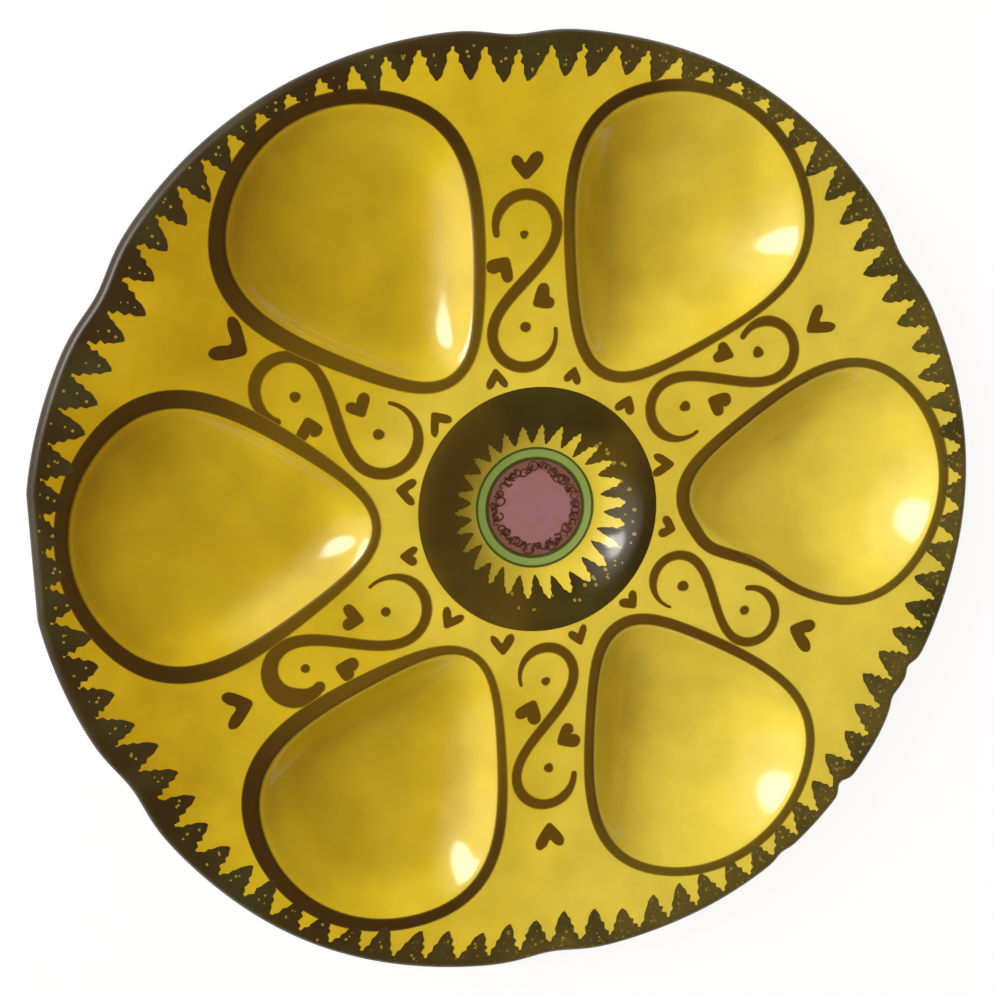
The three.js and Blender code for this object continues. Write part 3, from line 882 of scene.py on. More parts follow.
scroll_paint = glaze_colour("manganese_brown_thin", SCROLL_BROWN, SCROLL_UMBER, *SCROLL_SIDES)
for index, scroll in enumerate(SCROLLS):
    local_path = scroll_path(scroll)
    steps = np.arange(len(local_path))
    hook = 1 - smooth_share(steps, *HOOK_FADE_STEPS)
    heavy = 1 + (scroll.heavy_hook - 1) * hook
    set_down = SET_DOWN_WIDTH + (1 - SET_DOWN_WIDTH) * smooth_share(steps, 0, SET_DOWN_STEPS)
    lift_off = LIFT_OFF_WIDTH + (1 - LIFT_OFF_WIDTH) * smooth_share(steps[::-1], 0, LIFT_OFF_STEPS)
    stroke_widths = scroll.width * heavy * set_down * lift_off
    stroke_widths = stroke_widths * wander(len(local_path), STROKE_WANDER, STROKE_WAVES)
    stroke_path, stroke_widths = round_ends(on_plate(local_path, (index + 0.5) * SECTOR), stroke_widths)
    name = f"scroll_{index + 1}"
    painted_piece(name, brush_line(stroke_path, stroke_widths, False), scroll_paint, "brown_paint", name)

# Dots, hearts and chevrons
# Small touches of the same brush: a dot in each loop, hearts beside the scrolls, a mark beyond each scroll
# and a ring of chevrons round the sauce well. All but the dots are two short strokes that share a point.
DOT_RADIUS = 1.25
DOT_SIZES = (0.85, 1.2)
DOT_STRAY = 0.4
DOT_WANDER = 0.12
DOT_WAVES = 3
DOT_OUTER = np.array((-2.0, 0.9))
DOT_INNER = np.array((1.3, -0.7))
HEART_ARM = 4.8
HEART_WIDTH = 3.2
HEART_STRAYS = (0.4, 0.3)
HEART_TWIST = 18
OUTER_MARK_POINTS = ((82.7, -1.7), (79.8, -0.9), (79.6, -3.3), (81.7, -1.2), (79.7, 0.7), (76.0, 2.5))
OUTER_MARK_TURNS = (6, 0, -6, -16, 0, 5)
OUTER_MARK_ARMS = (7.2, 5.9, 8.2, 6.8, 6.9, 7.0)
OUTER_MARK_WIDTH = 3.1
CHEVRON_RING = 35.0
CHEVRON_TURN = math.radians(16)
CHEVRON_STRAY = 2
CHEVRON_TWIST = 20
CHEVRON_ARM = 4.7
CHEVRON_ARMS = (0.85, 1.2)
CHEVRON_WIDTH = 2.2
CHEVRON_SHIFT = 0.9 * SAUCE_SHIFT
PLAIN_SCROLL = 5
DOT_POINTS = 24
ARM_OPENINGS = (26, 38)
ARM_LENGTHS = (0.85, 1.12)
ARM_FATNESS = (0.9, 1.2)
POINT_SHARE = 0.95
ROUNDINGS = 2
NARROWINGS = (1.0, 0.8, 0.45)
# The marks are darker towards one side of the plate, as painted shade
MARK_SIDES = (-90, 0)
MARK_DARK = "#452a04"
MARK_BROWN = "#5c4205"

# Hearts beside a scroll: along and across from halfway between its loops, and the degrees they face
HEARTS = ((np.array((4.8, 4.7)), -45), (np.array((-5.5, -2.5)), 135))

# Round one arm of a touch: shares of its length, and of its half width to the inner side
ARM_OUTLINE = ((0.25, -0.8), (0.8, -1), (1, -0.35), (1, 0.4), (0.75, 1))


def jitter(amount):
    return hand.uniform(-amount, amount)


def rounded(outline, times):
    """Cuts the corners of a closed outline."""
    for _ in range(times):
        ahead = np.roll(outline, -1, axis=0)
        cuts = (0.75 * outline + 0.25 * ahead, 0.25 * outline + 0.75 * ahead)
        outline = np.stack(cuts, axis=1).reshape(-1, 2)
    return outline


def touch(middle, outline):
    """A filled touch of the brush, whose outline can all be seen from its middle."""
    spokes = outline - middle
    reach = np.linalg.norm(spokes, axis=1)[:, None]
    within = 1 - np.clip(BLEED / reach, 0, BLEED_SHARE)
    rings = [outline] + [middle + share * within * spokes for share in NARROWINGS]
    count = len(outline)
    faces = []
    last = (len(rings) - 1) * count
    for outer in range(0, last, count):
        faces += ring_faces(outer, outer + count, count)
    hub = last + count
    faces += [(last + here, last + (here + 1) % count, hub) for here in range(count)]
    points, normals = face_points(np.concatenate(rings + [middle[None]]))
    edge = np.concatenate([np.full(count, min(level, 1.0)) for level in range(len(rings))] + [[1.0]])
    return Paint(points, normals, faces, edge)


def dot(middle, radius):
    wobble = radius * wander(DOT_POINTS, DOT_WANDER, DOT_WAVES)
    return touch(middle, middle + wobble[:, None] * ways(around(DOT_POINTS)))


def two_strokes(point, facing, arm, width):
    """A chevron or heart whose point faces one way, in the plate's plan."""
    half = width / 2
    outline = [(POINT_SHARE * half, 0.0)]
    for side in (1, -1):
        opening = math.radians(hand.uniform(*ARM_OPENINGS))
        length = arm * hand.uniform(*ARM_LENGTHS)
        fat = half * hand.uniform(*ARM_FATNESS)
        end = np.array((-math.cos(opening), side * math.sin(opening)))
        square = np.array((-end[1], end[0])) * side
        arm_points = [along * length * end + across * fat * square for along, across in ARM_OUTLINE]
        outline += arm_points[::side]
        if side == 1:
            outline.append((-half / math.sin(opening), 0.0))
    local = rounded(np.array([tuple(corner) for corner in outline]), ROUNDINGS)
    return touch(point, point + on_plate(local, facing))


dots = []
hearts = []
marks = []
for index, scroll in enumerate(SCROLLS):
    middle_line = (index + 0.5) * SECTOR
    outer = np.array((scroll.outer_along, scroll.outer_across))
    inner = np.array((scroll.inner_along, scroll.inner_across))
    for loop, offset in ((outer, DOT_OUTER), (inner, DOT_INNER)):
        place = loop + offset + np.array((jitter(DOT_STRAY), jitter(DOT_STRAY)))
        dots.append(dot(on_plate(place, middle_line), DOT_RADIUS * hand.uniform(*DOT_SIZES)))
    halfway = np.array(((scroll.outer_along + scroll.inner_along) / 2, 0))
    for offset, facing in HEARTS if index != PLAIN_SCROLL else ():
        stray = np.array([jitter(most) for most in HEART_STRAYS])
        place = on_plate(halfway + offset + stray, middle_line)
        facing = middle_line + math.radians(facing + jitter(HEART_TWIST))
        hearts.append(two_strokes(place, facing, HEART_ARM, HEART_WIDTH))
    mark = on_plate(np.array(OUTER_MARK_POINTS[index]), middle_line)
    facing = middle_line + math.pi + math.radians(OUTER_MARK_TURNS[index])
    marks.append(two_strokes(mark, facing, OUTER_MARK_ARMS[index], OUTER_MARK_WIDTH))
chevrons = []
for index in range(WELL_COUNT):
    for side in (-1, 1):
        angle = (index + 0.5) * SECTOR + side * CHEVRON_TURN + math.radians(jitter(CHEVRON_STRAY))
        arm = CHEVRON_ARM * hand.uniform(*CHEVRON_ARMS)
        away = CHEVRON_RING + max(0, arm - CHEVRON_ARM)
        place = away * ways(angle) + CHEVRON_SHIFT
        facing = angle + math.radians(jitter(CHEVRON_TWIST))
        chevrons.append(two_strokes(place, facing, arm, CHEVRON_WIDTH))
mark_paint = glaze_colour("manganese_brown_marks", MARK_DARK, MARK_BROWN, *MARK_SIDES)
touch_pieces = (
    ("scroll_dots", dots, scroll_paint),
    ("scroll_hearts", hearts, scroll_paint),
    ("outer_marks", marks, mark_paint),
    ("sauce_chevrons", chevrons, scroll_paint),
)
for name, touches, paint in touch_pieces:
    painted_piece(name, joined(touches), paint, "brown_paint")

# Rim band
# An olive-black band round the rim and over its edge, with sponged fir-shaped teeth that point inwards.
# Over the broad ends of the wells the teeth run into the brown lines and leave flecks of yellow between.
RIM_TEETH = 88
RIM_BAND_WIDTHS = (0.2, 2.2)
RIM_BAND_SWAY = 0.2
RIM_BAND_SWAYS = 2.3
RIM_TOOTH_LENGTH = 7.6
RIM_TOOTH_LENGTHS = (0.8, 1.1)
RIM_TOOTH_LEAN = 0.9
RIM_TOOTH_HALF = 0.49
RIM_LIFT = 0.12
EDGE_PAINT = 0.9
CROWDED_TURN = math.radians(22)
CROWDED_HALF = 0.12
REACH_STEPS = 40
FLECK_RADIUS = 0.42
FLECK_SIZES = (0.35, 0.9)
FLECK_PLACES = (-0.1, 0.75)
FLECK_SPREAD = 1.3
FLECKS_PER_TOOTH = 3
BASE_STEPS_PER_TOOTH = 10
LEAN_STRAY = 0.12
TOOTH_TAPER = 0.65
TOOTH_BARBS = 3
BARB_ROOM = 0.4
BARB_DEPTH = 0.1
BARB_PLACES = (0.35, 0.6)
BARB_WIDTHS = (0.9, 1.0)
BARB_NOTCHES = (0.62, 0.76)
TIP_HALF = 0.09
TIP_SLANT = 0.97
CLOUD_PATCHES = (22, 0.42, 0.72)
GRAIN_PATCHES = (1.1, 0.6, 0.72)
BAND_FLECK = "#8f7c2c"

# Colour on the left, on the right and in the clouds, where it changes, how it shines and how bare it is
Sponging = namedtuple("Sponging", "left right cloudy from_mm to_mm roughness shine bare")
# The rim band is darker on one side of the plate and olive on the other, as painted shade and sheen
RIM_SPONGING = Sponging("#33220a", "#5c5024", "#3a361a", -70, 100, roughness=0.3, shine=0.35, bare=1.0)


def fir_outline(half_width, length, lean):
    """One side, the tip and the other side of a ragged tooth, as across and inwards pairs."""
    sides = []
    for side in (1, -1):
        points = []
        for barb in range(TOOTH_BARBS):
            deep = length * (barb + hand.uniform(*BARB_PLACES)) / (TOOTH_BARBS + BARB_ROOM)
            wide = half_width * (1 - deep / length) ** TOOTH_TAPER
            shift = lean * deep / length
            points.append((side * wide * hand.uniform(*BARB_WIDTHS) + shift, deep))
            notch = side * wide * hand.uniform(*BARB_NOTCHES) + shift
            points.append((notch, deep + BARB_DEPTH * length))
        sides.append(points)
    tip = TIP_HALF * half_width
    return sides[0] + [(lean + tip, length), (lean - tip, TIP_SLANT * length)] + sides[1][::-1]


def tooth_middles(count):
    """Angles of the middles of evenly spaced teeth."""
    first = (BASE_STEPS_PER_TOOTH - 1) / 2 / BASE_STEPS_PER_TOOTH
    return [(tooth + first) * 2 * math.pi / count for tooth in range(count)]


def toothed_band(rings, normals, middles, half_widths, lengths, lean, base_radius, centre):
    """Rings of a painted band and the ragged teeth that grow inwards from its last ring."""
    count = rings.shape[1]
    surface_points = [rings.reshape(-1, 3)]
    surface_normals = [normals.reshape(-1, 3)]
    faces = []
    base = (rings.shape[0] - 1) * count
    total = base + count
    for outer in range(0, base, count):
        faces += ring_faces(outer, outer + count, count)
    for tooth, (angle, half_width, length) in enumerate(zip(middles, half_widths, lengths)):
        first = tooth * BASE_STEPS_PER_TOOTH
        base_points = [(first + step) % count for step in range(BASE_STEPS_PER_TOOTH)]
        outline = np.array(fir_outline(half_width, length, lean + jitter(LEAN_STRAY * length)))
        away = base_radius(angle) - outline[:, 1]
        turn = angle + outline[:, 0] / base_radius(angle)
        laid, laid_normals = face_points(centre + away[:, None] * ways(turn))
        loop = [Vector((*rings[-1, i, :2], 0)) for i in base_points] + [Vector((*p[:2], 0)) for p in laid]
        corners = [base + i for i in base_points] + [total + i for i in range(len(laid))]
        for triangle in tessellate_polygon([loop]):
            a, b, c = (loop[i] for i in triangle)
            turned_over = (b - a).cross(c - a).z < 0
            face = tuple(corners[i] for i in triangle)
            faces.append(face[::-1] if turned_over else face)
        surface_points.append(laid)
        surface_normals.append(laid_normals)
        total += len(laid)
    points = np.concatenate(surface_points)
    return Paint(points, np.concatenate(surface_normals), faces, np.ones(len(points)))


def sponged_black(name, sponging):
    """Olive-black colour dabbed on with a sponge, so yellow flecks of the glaze show through it, and
    changed across the plate by painted shade and light.
    """
    material, tree, place = new_material(name)
    to_right = across_plate(tree, place, sponging.from_mm, sponging.to_mm)
    clouds = patches(tree, place, *CLOUD_PATCHES)
    bare_side = {0: to_right, 1: sponging.bare}
    thin = add_node(tree, "ShaderNodeMath", bare_side, operation="MULTIPLY").outputs["Value"]
    grains = {0: patches(tree, place, *GRAIN_PATCHES), 1: thin}
    flecks = add_node(tree, "ShaderNodeMath", grains, operation="MULTIPLY").outputs["Value"]
    base = sponging.left
    for share, coat in ((to_right, sponging.right), (clouds, sponging.cloudy), (flecks, BAND_FLECK)):
        base = add_node(tree, "ShaderNodeMix", {0: share, 6: base, 7: coat}, data_type="RGBA").outputs[2]
    finish_material(tree, Base_Color=base, Roughness=sponging.roughness, IOR=GLAZE_IOR,
                    Specular_IOR_Level=sponging.shine)
    return material


def line_reach(angle, start):
    """Radius at which a line inwards from the rim meets the brown line of a well, or passes it by."""
    radii = np.linspace(start, start - RIM_TOOTH_LENGTH, REACH_STEPS)
    well = int(round(angle / SECTOR)) % WELL_COUNT
    middle_of_line = 1 + LINE_WIDTHS[well][0] / 2 / WELL_HALF_LENGTH
    met = well_ratio(radii * math.cos(angle), radii * math.sin(angle)) < middle_of_line
    return radii[met][0] if met.any() else radii[-1]


def rim_band_base(angle):
    """Inner edge of the solid band, which is narrow over the wells and wider between them."""
    between = 0.5 - 0.5 * np.cos(WELL_COUNT * angle)
    narrow, wide = RIM_BAND_WIDTHS
    uneven = 1 - RIM_BAND_SWAY + RIM_BAND_SWAY * np.sin(RIM_BAND_SWAYS * angle)
    swing = (wide - narrow) * between * uneven
    return rim_radius(angle) - RIM_ROUND - narrow - swing


rim_count = RIM_TEETH * BASE_STEPS_PER_TOOTH
rim_angles = around(rim_count)
edge_insets = np.concatenate(([0], RIM_ROUND * (1 - np.cos(QUARTER_BENDS))))
edge_rings = surface(edge_insets, rim_count, face_top)
edge_rings[0, :, 2] = edge_rings[1, :, 2] - EDGE_PAINT * RIM_EDGE
upright = np.concatenate(([0], np.sin(QUARTER_BENDS)))[:, None] * np.ones(rim_count)
outwards = np.concatenate(([1], np.cos(QUARTER_BENDS)))[:, None] * np.ones(rim_count)
edge_normals = np.stack((outwards * np.cos(rim_angles), outwards * np.sin(rim_angles), upright), axis=-1)
inner_points, inner_normals = face_points(rim_band_base(rim_angles)[:, None] * ways(rim_angles))
band_rings = np.concatenate((edge_rings, inner_points[None]))
band_normals = np.concatenate((edge_normals, inner_normals[None]))
tooth_angles = tooth_middles(RIM_TEETH)
tooth_lengths = []
tooth_halves = []
for angle in tooth_angles:
    base = rim_band_base(angle)
    length = RIM_TOOTH_LENGTH * hand.uniform(*RIM_TOOTH_LENGTHS)
    tooth_lengths.append(min(length, base - line_reach(angle, base)))
    crowding = math.exp(-((angle - math.pi) / CROWDED_TURN) ** 2)
    tooth_halves.append((RIM_TOOTH_HALF + CROWDED_HALF * crowding) * 2 * math.pi / RIM_TEETH * RIM_RADIUS)
sponge = sponged_black("sponged_olive_black", RIM_SPONGING)
rim_band = toothed_band(band_rings, band_normals, tooth_angles, tooth_halves, tooth_lengths, RIM_TOOTH_LEAN,
                        rim_band_base, np.zeros(2))
painted_piece("rim_band", rim_band, sponge, "black_paint", "rim_band", lift=RIM_LIFT)
flecks = []
for angle, length in zip(tooth_angles, tooth_lengths):
    for _ in range(FLECKS_PER_TOOTH):
        along = hand.uniform(*FLECK_PLACES)
        away = rim_band_base(angle) - along * length
        turn = angle + (along * RIM_TOOTH_LEAN + jitter(FLECK_SPREAD * (1 - along))) / RIM_RADIUS
        flecks.append(dot(away * ways(turn), FLECK_RADIUS * hand.uniform(*FLECK_SIZES)))
bare_glaze = glaze_colour("glaze_left_bare", BAND_FLECK, BAND_FLECK, *SCROLL_SIDES)
painted_piece("rim_flecks", joined(flecks), bare_glaze, "yellow_glaze", lift=RIM_LIFT + PAINT_LIFT)

# Sauce well band
# The same olive black down the wall of the sauce well, with ragged teeth that leave a yellow star inside.
# It was laid on a turning wheel, so its outer edge is true, and its inner edge was pulled to one side.
SAUCE_BAND_INNER = 21.4
STAR_PULL = 1.9
STAR_WAY = math.radians(-40)
STAR_CLEARING = 15.6
SAUCE_TEETH = 26
SAUCE_TOOTH_LENGTH = 5.4
SAUCE_TOOTH_LENGTHS = (0.75, 1.15)
SAUCE_TOOTH_HALF = 0.47
SAUCE_RINGS = 9
SAUCE_OVERLAP = 0.2
FLECKED_TURN = (-1.2, 1.7)
FLECKED_WIDTH = (-0.6, 2.6)
SAUCE_FLECKS = 34
SAUCE_FLECK_SIZES = (0.5, 1.1)
# The sauce band is painted lighter on one side and darker on the other, as painted light and shade
SAUCE_SPONGING = Sponging("#56430f", "#2a2008", "#3c3310", -20, 40, roughness=0.12, shine=0.5, bare=0.0)


def star_base(angle):
    return SAUCE_BAND_INNER + STAR_PULL * np.cos(angle - STAR_WAY)


sauce_count = SAUCE_TEETH * BASE_STEPS_PER_TOOTH
sauce_angles = around(sauce_count)
sauce_shares = np.linspace(0, 1, SAUCE_RINGS)[:, None]
sauce_radii = (1 - sauce_shares) * (SAUCE_RADIUS + SAUCE_OVERLAP) + sauce_shares * star_base(sauce_angles)
sauce_plan = SAUCE_SHIFT + sauce_radii[..., None] * ways(sauce_angles)
sauce_rings = [laid.reshape(SAUCE_RINGS, sauce_count, 3) for laid in face_points(sauce_plan.reshape(-1, 2))]
star_angles = tooth_middles(SAUCE_TEETH)
star_lengths = []
for angle in star_angles:
    length = SAUCE_TOOTH_LENGTH * hand.uniform(*SAUCE_TOOTH_LENGTHS)
    star_lengths.append(min(length, star_base(angle) - STAR_CLEARING))
star_halves = [SAUCE_TOOTH_HALF * 2 * math.pi / SAUCE_TEETH * SAUCE_BAND_INNER] * SAUCE_TEETH
sauce_band = toothed_band(*sauce_rings, star_angles, star_halves, star_lengths, 0.0, star_base, SAUCE_SHIFT)
sauce_sponge = sponged_black("sponged_olive_black_sauce", SAUCE_SPONGING)
painted_piece("sauce_band", sauce_band, sauce_sponge, "black_paint", "sauce_band")
sauce_flecks = []
for _ in range(SAUCE_FLECKS):
    angle = STAR_WAY + hand.uniform(*FLECKED_TURN)
    away = star_base(angle) + hand.uniform(*FLECKED_WIDTH)
    spot = SAUCE_SHIFT + away * ways(angle)
    sauce_flecks.append(dot(spot, FLECK_RADIUS * hand.uniform(*SAUCE_FLECK_SIZES)))
painted_piece("sauce_flecks", joined(sauce_flecks), bare_glaze, "yellow_glaze", lift=2 * PAINT_LIFT)

# Green ring
# A pale green ring round the middle of the sauce well, banded on the wheel between two dark green lines.
# The colour is copper green fired into the glaze.
ROSETTE_MIDDLE = SAUCE_SHIFT + np.array((0.6, -0.3))
GREEN_RING_RADIUS = 13.5
GREEN_RING_WIDTH = 2.5
GREEN_RING_WANDER = 0.06
GREEN_LINES = (12.35, 14.7)
GREEN_LINE_WIDTH = 0.6
GREEN_LINE_WANDER = 0.2
RING_STEPS = 160
RING_WAVES = 5
# The sauce well's colours are darker on one side and paler on the other, as painted shade and light
SAUCE_SIDES = (-30, 30)
GREEN_PALE = "#8da45c"
GREEN_MID = "#7b924a"
GREEN_DEEP = "#3a4a18"
GREEN_LEAF = "#47591f"


def ring_line(radius, width, unevenness):
    path = ROSETTE_MIDDLE + radius * ways(around(RING_STEPS))
    return brush_line(path, width * wander(RING_STEPS, unevenness, RING_WAVES), True)


green_paint = glaze_colour("copper_green", GREEN_MID, GREEN_PALE, *SAUCE_SIDES)
dark_green = glaze_colour("copper_green_dark", GREEN_DEEP, GREEN_LEAF, *SAUCE_SIDES, GREEN_MID)
green_ring = ring_line(GREEN_RING_RADIUS, GREEN_RING_WIDTH, GREEN_RING_WANDER)
painted_piece("green_ring", green_ring, green_paint, "green_paint", "green_ring")
green_lines = joined([ring_line(radius, GREEN_LINE_WIDTH, GREEN_LINE_WANDER) for radius in GREEN_LINES])
painted_piece("green_ring_lines", green_lines, dark_green, "green_paint", lift=2 * PAINT_LIFT)

# Rosette
# A mauve disc in the middle of the sauce well, with a lace of small maroon curls drawn round its edge.
# The disc is one full brush mark, and the lace is drawn over it freely with the tip of a fine brush.
ROSETTE_RADIUS = 12.3
LACE_CURLS = 40
LACE_RADIUS = 10.0
LACE_WIDTH = 0.45
LACE_EDGE = 12.0
LACE_EDGE_WANDER = 0.3
CURL_REACH = 1.45
CURL_SIZES = (0.6, 1.2)
CURL_CLOSING = 0.55
CURL_FLATNESS = 0.8
CURL_SWEEPS = (4.2, 7.0)
CURL_STRAY = 0.35
CURL_SHIFT = 0.8
CURL_WIDTHS = (0.8, 1.4)
CURL_WANDER = 0.25
CURL_WAVES = 3
CURL_POINTS = 24
SCALLOPS = 19
SCALLOP_RADIUS = 9.3
SCALLOP_ARM = 1.9
SCALLOP_ARMS = (0.7, 1.2)
SCALLOP_WIDTH = 0.8
SCALLOP_STRAY = 0.3
SCALLOP_SHIFT = 0.5
SCALLOP_TWIST = 0.6
DISC_POINTS = 72
BROWNING = (8.2, 10.6)
MAUVE_PATCHES = (6, 0.35, 0.7)
MAUVE_WARM = "#96686a"
MAUVE_COOL = "#986c7c"
MAUVE_BROWN = "#7a5349"
MAROON_DARK = "#4c2a27"
MAROON_PALE = "#583431"


def mauve_glaze():
    """Mauve glaze colour, clear in the middle and browned under the lace."""
    material, tree, place = new_material("manganese_mauve")
    middle = (*(ROSETTE_MIDDLE * MM), 0)
    shift = {0: place, 1: middle}
    moved = add_node(tree, "ShaderNodeVectorMath", shift, operation="SUBTRACT").outputs["Vector"]
    clouds = {0: patches(tree, place, *MAUVE_PATCHES), 6: MAUVE_WARM, 7: MAUVE_COOL}
    clear = add_node(tree, "ShaderNodeMix", clouds, data_type="RGBA").outputs[2]
    browned = {0: by_radius(tree, moved, *BROWNING), 6: clear, 7: MAUVE_BROWN}
    base = add_node(tree, "ShaderNodeMix", browned, data_type="RGBA").outputs[2]
    finish_material(tree, Base_Color=base, Roughness=PAINT_ROUGHNESS, IOR=GLAZE_IOR)
    return material


mauve_paint = mauve_glaze()
maroon_paint = glaze_colour("manganese_maroon", MAROON_DARK, MAROON_PALE, *SAUCE_SIDES, MAUVE_BROWN)
disc = ROSETTE_MIDDLE + ROSETTE_RADIUS * ways(around(DISC_POINTS))
painted_piece("rosette_disc", touch(ROSETTE_MIDDLE, disc), mauve_paint, "mauve_paint", "rosette_disc")
lace = [ring_line(LACE_EDGE, LACE_WIDTH, LACE_EDGE_WANDER)]
for curl in range(LACE_CURLS):
    angle = (curl + jitter(CURL_STRAY)) * 2 * math.pi / LACE_CURLS
    middle = ROSETTE_MIDDLE + (LACE_RADIUS + jitter(CURL_SHIFT)) * ways(angle)
    sweep = np.linspace(0, hand.uniform(*CURL_SWEEPS), CURL_POINTS) + hand.uniform(0, 2 * math.pi)
    reach = CURL_REACH * hand.uniform(*CURL_SIZES) * np.linspace(1, CURL_CLOSING, CURL_POINTS)
    curl_path = middle + np.stack((reach * np.cos(sweep), CURL_FLATNESS * reach * np.sin(sweep)), axis=1)
    curl_widths = LACE_WIDTH * hand.uniform(*CURL_WIDTHS) * wander(CURL_POINTS, CURL_WANDER, CURL_WAVES)
    lace.append(brush_line(curl_path, curl_widths, False))
for scallop in range(SCALLOPS):
    angle = (scallop + jitter(SCALLOP_STRAY)) * 2 * math.pi / SCALLOPS
    spot = ROSETTE_MIDDLE + (SCALLOP_RADIUS + jitter(SCALLOP_SHIFT)) * ways(angle)
    facing = angle + math.pi + jitter(SCALLOP_TWIST)
    lace.append(two_strokes(spot, facing, SCALLOP_ARM * hand.uniform(*SCALLOP_ARMS), SCALLOP_WIDTH))
painted_piece("rosette_lace", joined(lace), maroon_paint, "mauve_paint", lift=2 * PAINT_LIFT)

# Floor and light
# A white floor with a turned-up edge, a window-like lamp on the left, and a dim warm room that is brighter
# round that lamp. Seen by the camera, floor and room are white, and the floor keeps the plate's shadow.
FLOOR_PROFILE = ((3.0, 0.35), (2.8, 0.08), (2.5, 0.0))
FLOOR_STEPS = 96
FLOOR_WHITE = (0.8, 0.8, 0.8, 1)
WHITE = (1, 1, 1, 1)
FLOOR_SEEN = 0.9
FLOOR_SHADOW = 0.12
ROOM_FILL = 0.31
BACKDROP_SEEN = 0.98
ROOM_WARM = "#ffe39a"
SKY_GLOW = 2.0
GLOW_SPREAD = (0.6, 0.97)
GLOW_AZIMUTH = math.radians(160)
GLOW_ELEVATION = math.radians(25)
LAMP_AZIMUTH = math.radians(154)
LAMP_ELEVATION = math.radians(42)
LAMP_DISTANCE = 1.0
LAMP_SIZE = (0.45, 0.4)
LAMP_POWER = 5.6


def direction(azimuth, elevation):
    level = math.cos(elevation)
    return Vector((level * math.cos(azimuth), level * math.sin(azimuth), math.sin(elevation)))


def white_floor():
    """Matt white floor, which the camera sees as plain white with the plate's shadow."""
    material, tree, _ = new_material("white_floor")
    path = add_node(tree, "ShaderNodeLightPath").outputs
    shown = path["Is Camera Ray"]
    for kind in ("Is Glossy Ray", "Is Transmission Ray"):
        either = {0: shown, 1: path[kind]}
        shown = add_node(tree, "ShaderNodeMath", either, operation="MAXIMUM").outputs["Value"]
    lit = add_node(tree, "ShaderNodeBsdfDiffuse", {"Color": FLOOR_WHITE}).outputs["BSDF"]
    dark = (FLOOR_SHADOW, FLOOR_SHADOW, FLOOR_SHADOW, 1)
    shade = add_node(tree, "ShaderNodeBsdfDiffuse", {"Color": dark}).outputs["BSDF"]
    white = {"Color": WHITE, "Strength": FLOOR_SEEN}
    glow = add_node(tree, "ShaderNodeEmission", white).outputs["Emission"]
    pale = add_node(tree, "ShaderNodeAddShader", {0: shade, 1: glow}).outputs["Shader"]
    mixed = add_node(tree, "ShaderNodeMixShader", {0: shown, 1: lit, 2: pale}).outputs["Shader"]
    add_node(tree, "ShaderNodeOutputMaterial", {"Surface": mixed})
    return material


floor_mesh = bpy.data.meshes.new("floor")
floor_points = []
for radius, height in FLOOR_PROFILE:
    floor_points += [(*(radius * way), height) for way in ways(around(FLOOR_STEPS))]
floor_faces = [tuple(range(len(floor_points) - FLOOR_STEPS, len(floor_points)))]
for ring in range(len(FLOOR_PROFILE) - 1):
    floor_faces += ring_faces(ring * FLOOR_STEPS, (ring + 1) * FLOOR_STEPS, FLOOR_STEPS)
floor_mesh.from_pydata(floor_points, [], floor_faces)
floor_mesh.materials.append(white_floor())
floor = bpy.data.objects.new("floor", floor_mesh)
bpy.context.scene.collection.objects.link(floor)

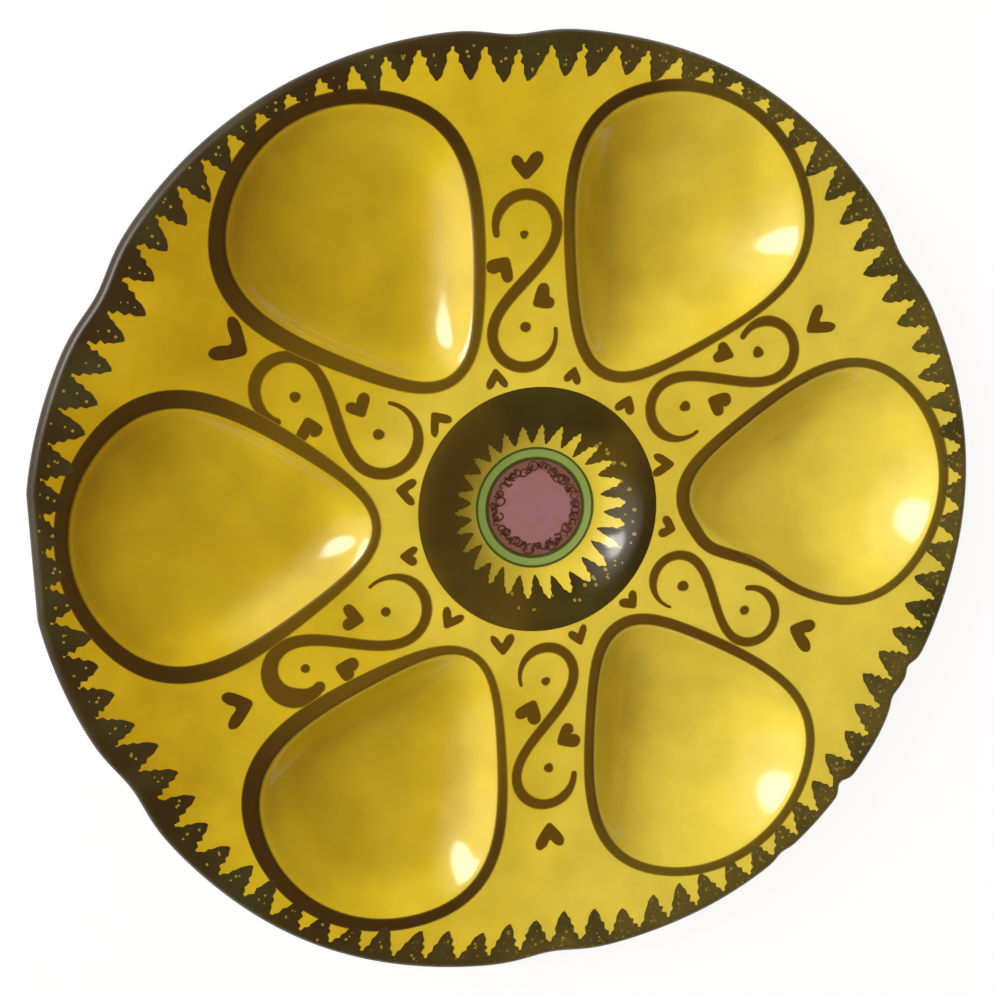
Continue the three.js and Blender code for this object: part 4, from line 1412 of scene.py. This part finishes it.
world = bpy.data.worlds.new("dim_room")
bpy.context.scene.world = world
world.use_nodes = True
sky = world.node_tree
sky.nodes.clear()
ray = add_node(sky, "ShaderNodeTexCoord").outputs["Generated"]
towards = {0: ray, 1: direction(GLOW_AZIMUTH, GLOW_ELEVATION)}
facing_glow = add_node(sky, "ShaderNodeVectorMath", towards, operation="DOT_PRODUCT").outputs["Value"]
lobe = {"Value": facing_glow, "From Min": GLOW_SPREAD[0], "From Max": GLOW_SPREAD[1], "To Max": SKY_GLOW}
strength = add_node(sky, "ShaderNodeMapRange", lobe, interpolation_type="SMOOTHSTEP").outputs["Result"]
glow = add_node(sky, "ShaderNodeBackground", {"Color": WHITE, "Strength": strength}).outputs["Background"]
dim = {"Color": ROOM_WARM, "Strength": ROOM_FILL}
room = add_node(sky, "ShaderNodeBackground", dim).outputs["Background"]
both = add_node(sky, "ShaderNodeAddShader", {0: glow, 1: room}).outputs["Shader"]
seen = {"Color": WHITE, "Strength": BACKDROP_SEEN}
backdrop = add_node(sky, "ShaderNodeBackground", seen).outputs["Background"]
looked_at = add_node(sky, "ShaderNodeLightPath").outputs["Is Camera Ray"]
surround = add_node(sky, "ShaderNodeMixShader", {0: looked_at, 1: both, 2: backdrop}).outputs["Shader"]
add_node(sky, "ShaderNodeOutputWorld", {"Surface": surround})

lamp_data = bpy.data.lights.new("window_lamp", "AREA")
lamp_data.shape = "ELLIPSE"
lamp_data.size, lamp_data.size_y = LAMP_SIZE
lamp_data.energy = LAMP_POWER
lamp = bpy.data.objects.new("window_lamp", lamp_data)
lamp_way = direction(LAMP_AZIMUTH, LAMP_ELEVATION)
lamp.location = lamp_way * LAMP_DISTANCE
lamp.rotation_euler = (-lamp_way).to_track_quat("-Z", "Y").to_euler()
bpy.context.scene.collection.objects.link(lamp)

# Camera
# Above the plate and a little to its upper left, as in the photograph, with a short telephoto lens.
CAMERA_AZIMUTH = math.radians(146.0)
CAMERA_ELEVATION = math.radians(73.17)
CAMERA_ROLL = math.radians(-2.4)
CAMERA_DISTANCE = 392.84 * MM
CAMERA_AIM = Vector((-9.19, 4.23, 20.5)) * MM
CAMERA_LENS = 59.28
camera_data = bpy.data.cameras.new("camera")
camera_data.lens = CAMERA_LENS
camera = bpy.data.objects.new("camera", camera_data)
camera_back = direction(CAMERA_AZIMUTH, CAMERA_ELEVATION)
camera_right = Vector((0, 1, 0)).cross(camera_back).normalized()
axes = Matrix((camera_right, camera_back.cross(camera_right), camera_back)).transposed()
camera.matrix_world = (axes @ Matrix.Rotation(CAMERA_ROLL, 3, "Z")).to_4x4()
camera.location = CAMERA_AIM + camera_back * CAMERA_DISTANCE
bpy.context.scene.collection.objects.link(camera)
bpy.context.scene.camera = camera
bpy.context.scene.view_settings.view_transform = "Standard"

bpy.context.view_layer.update()
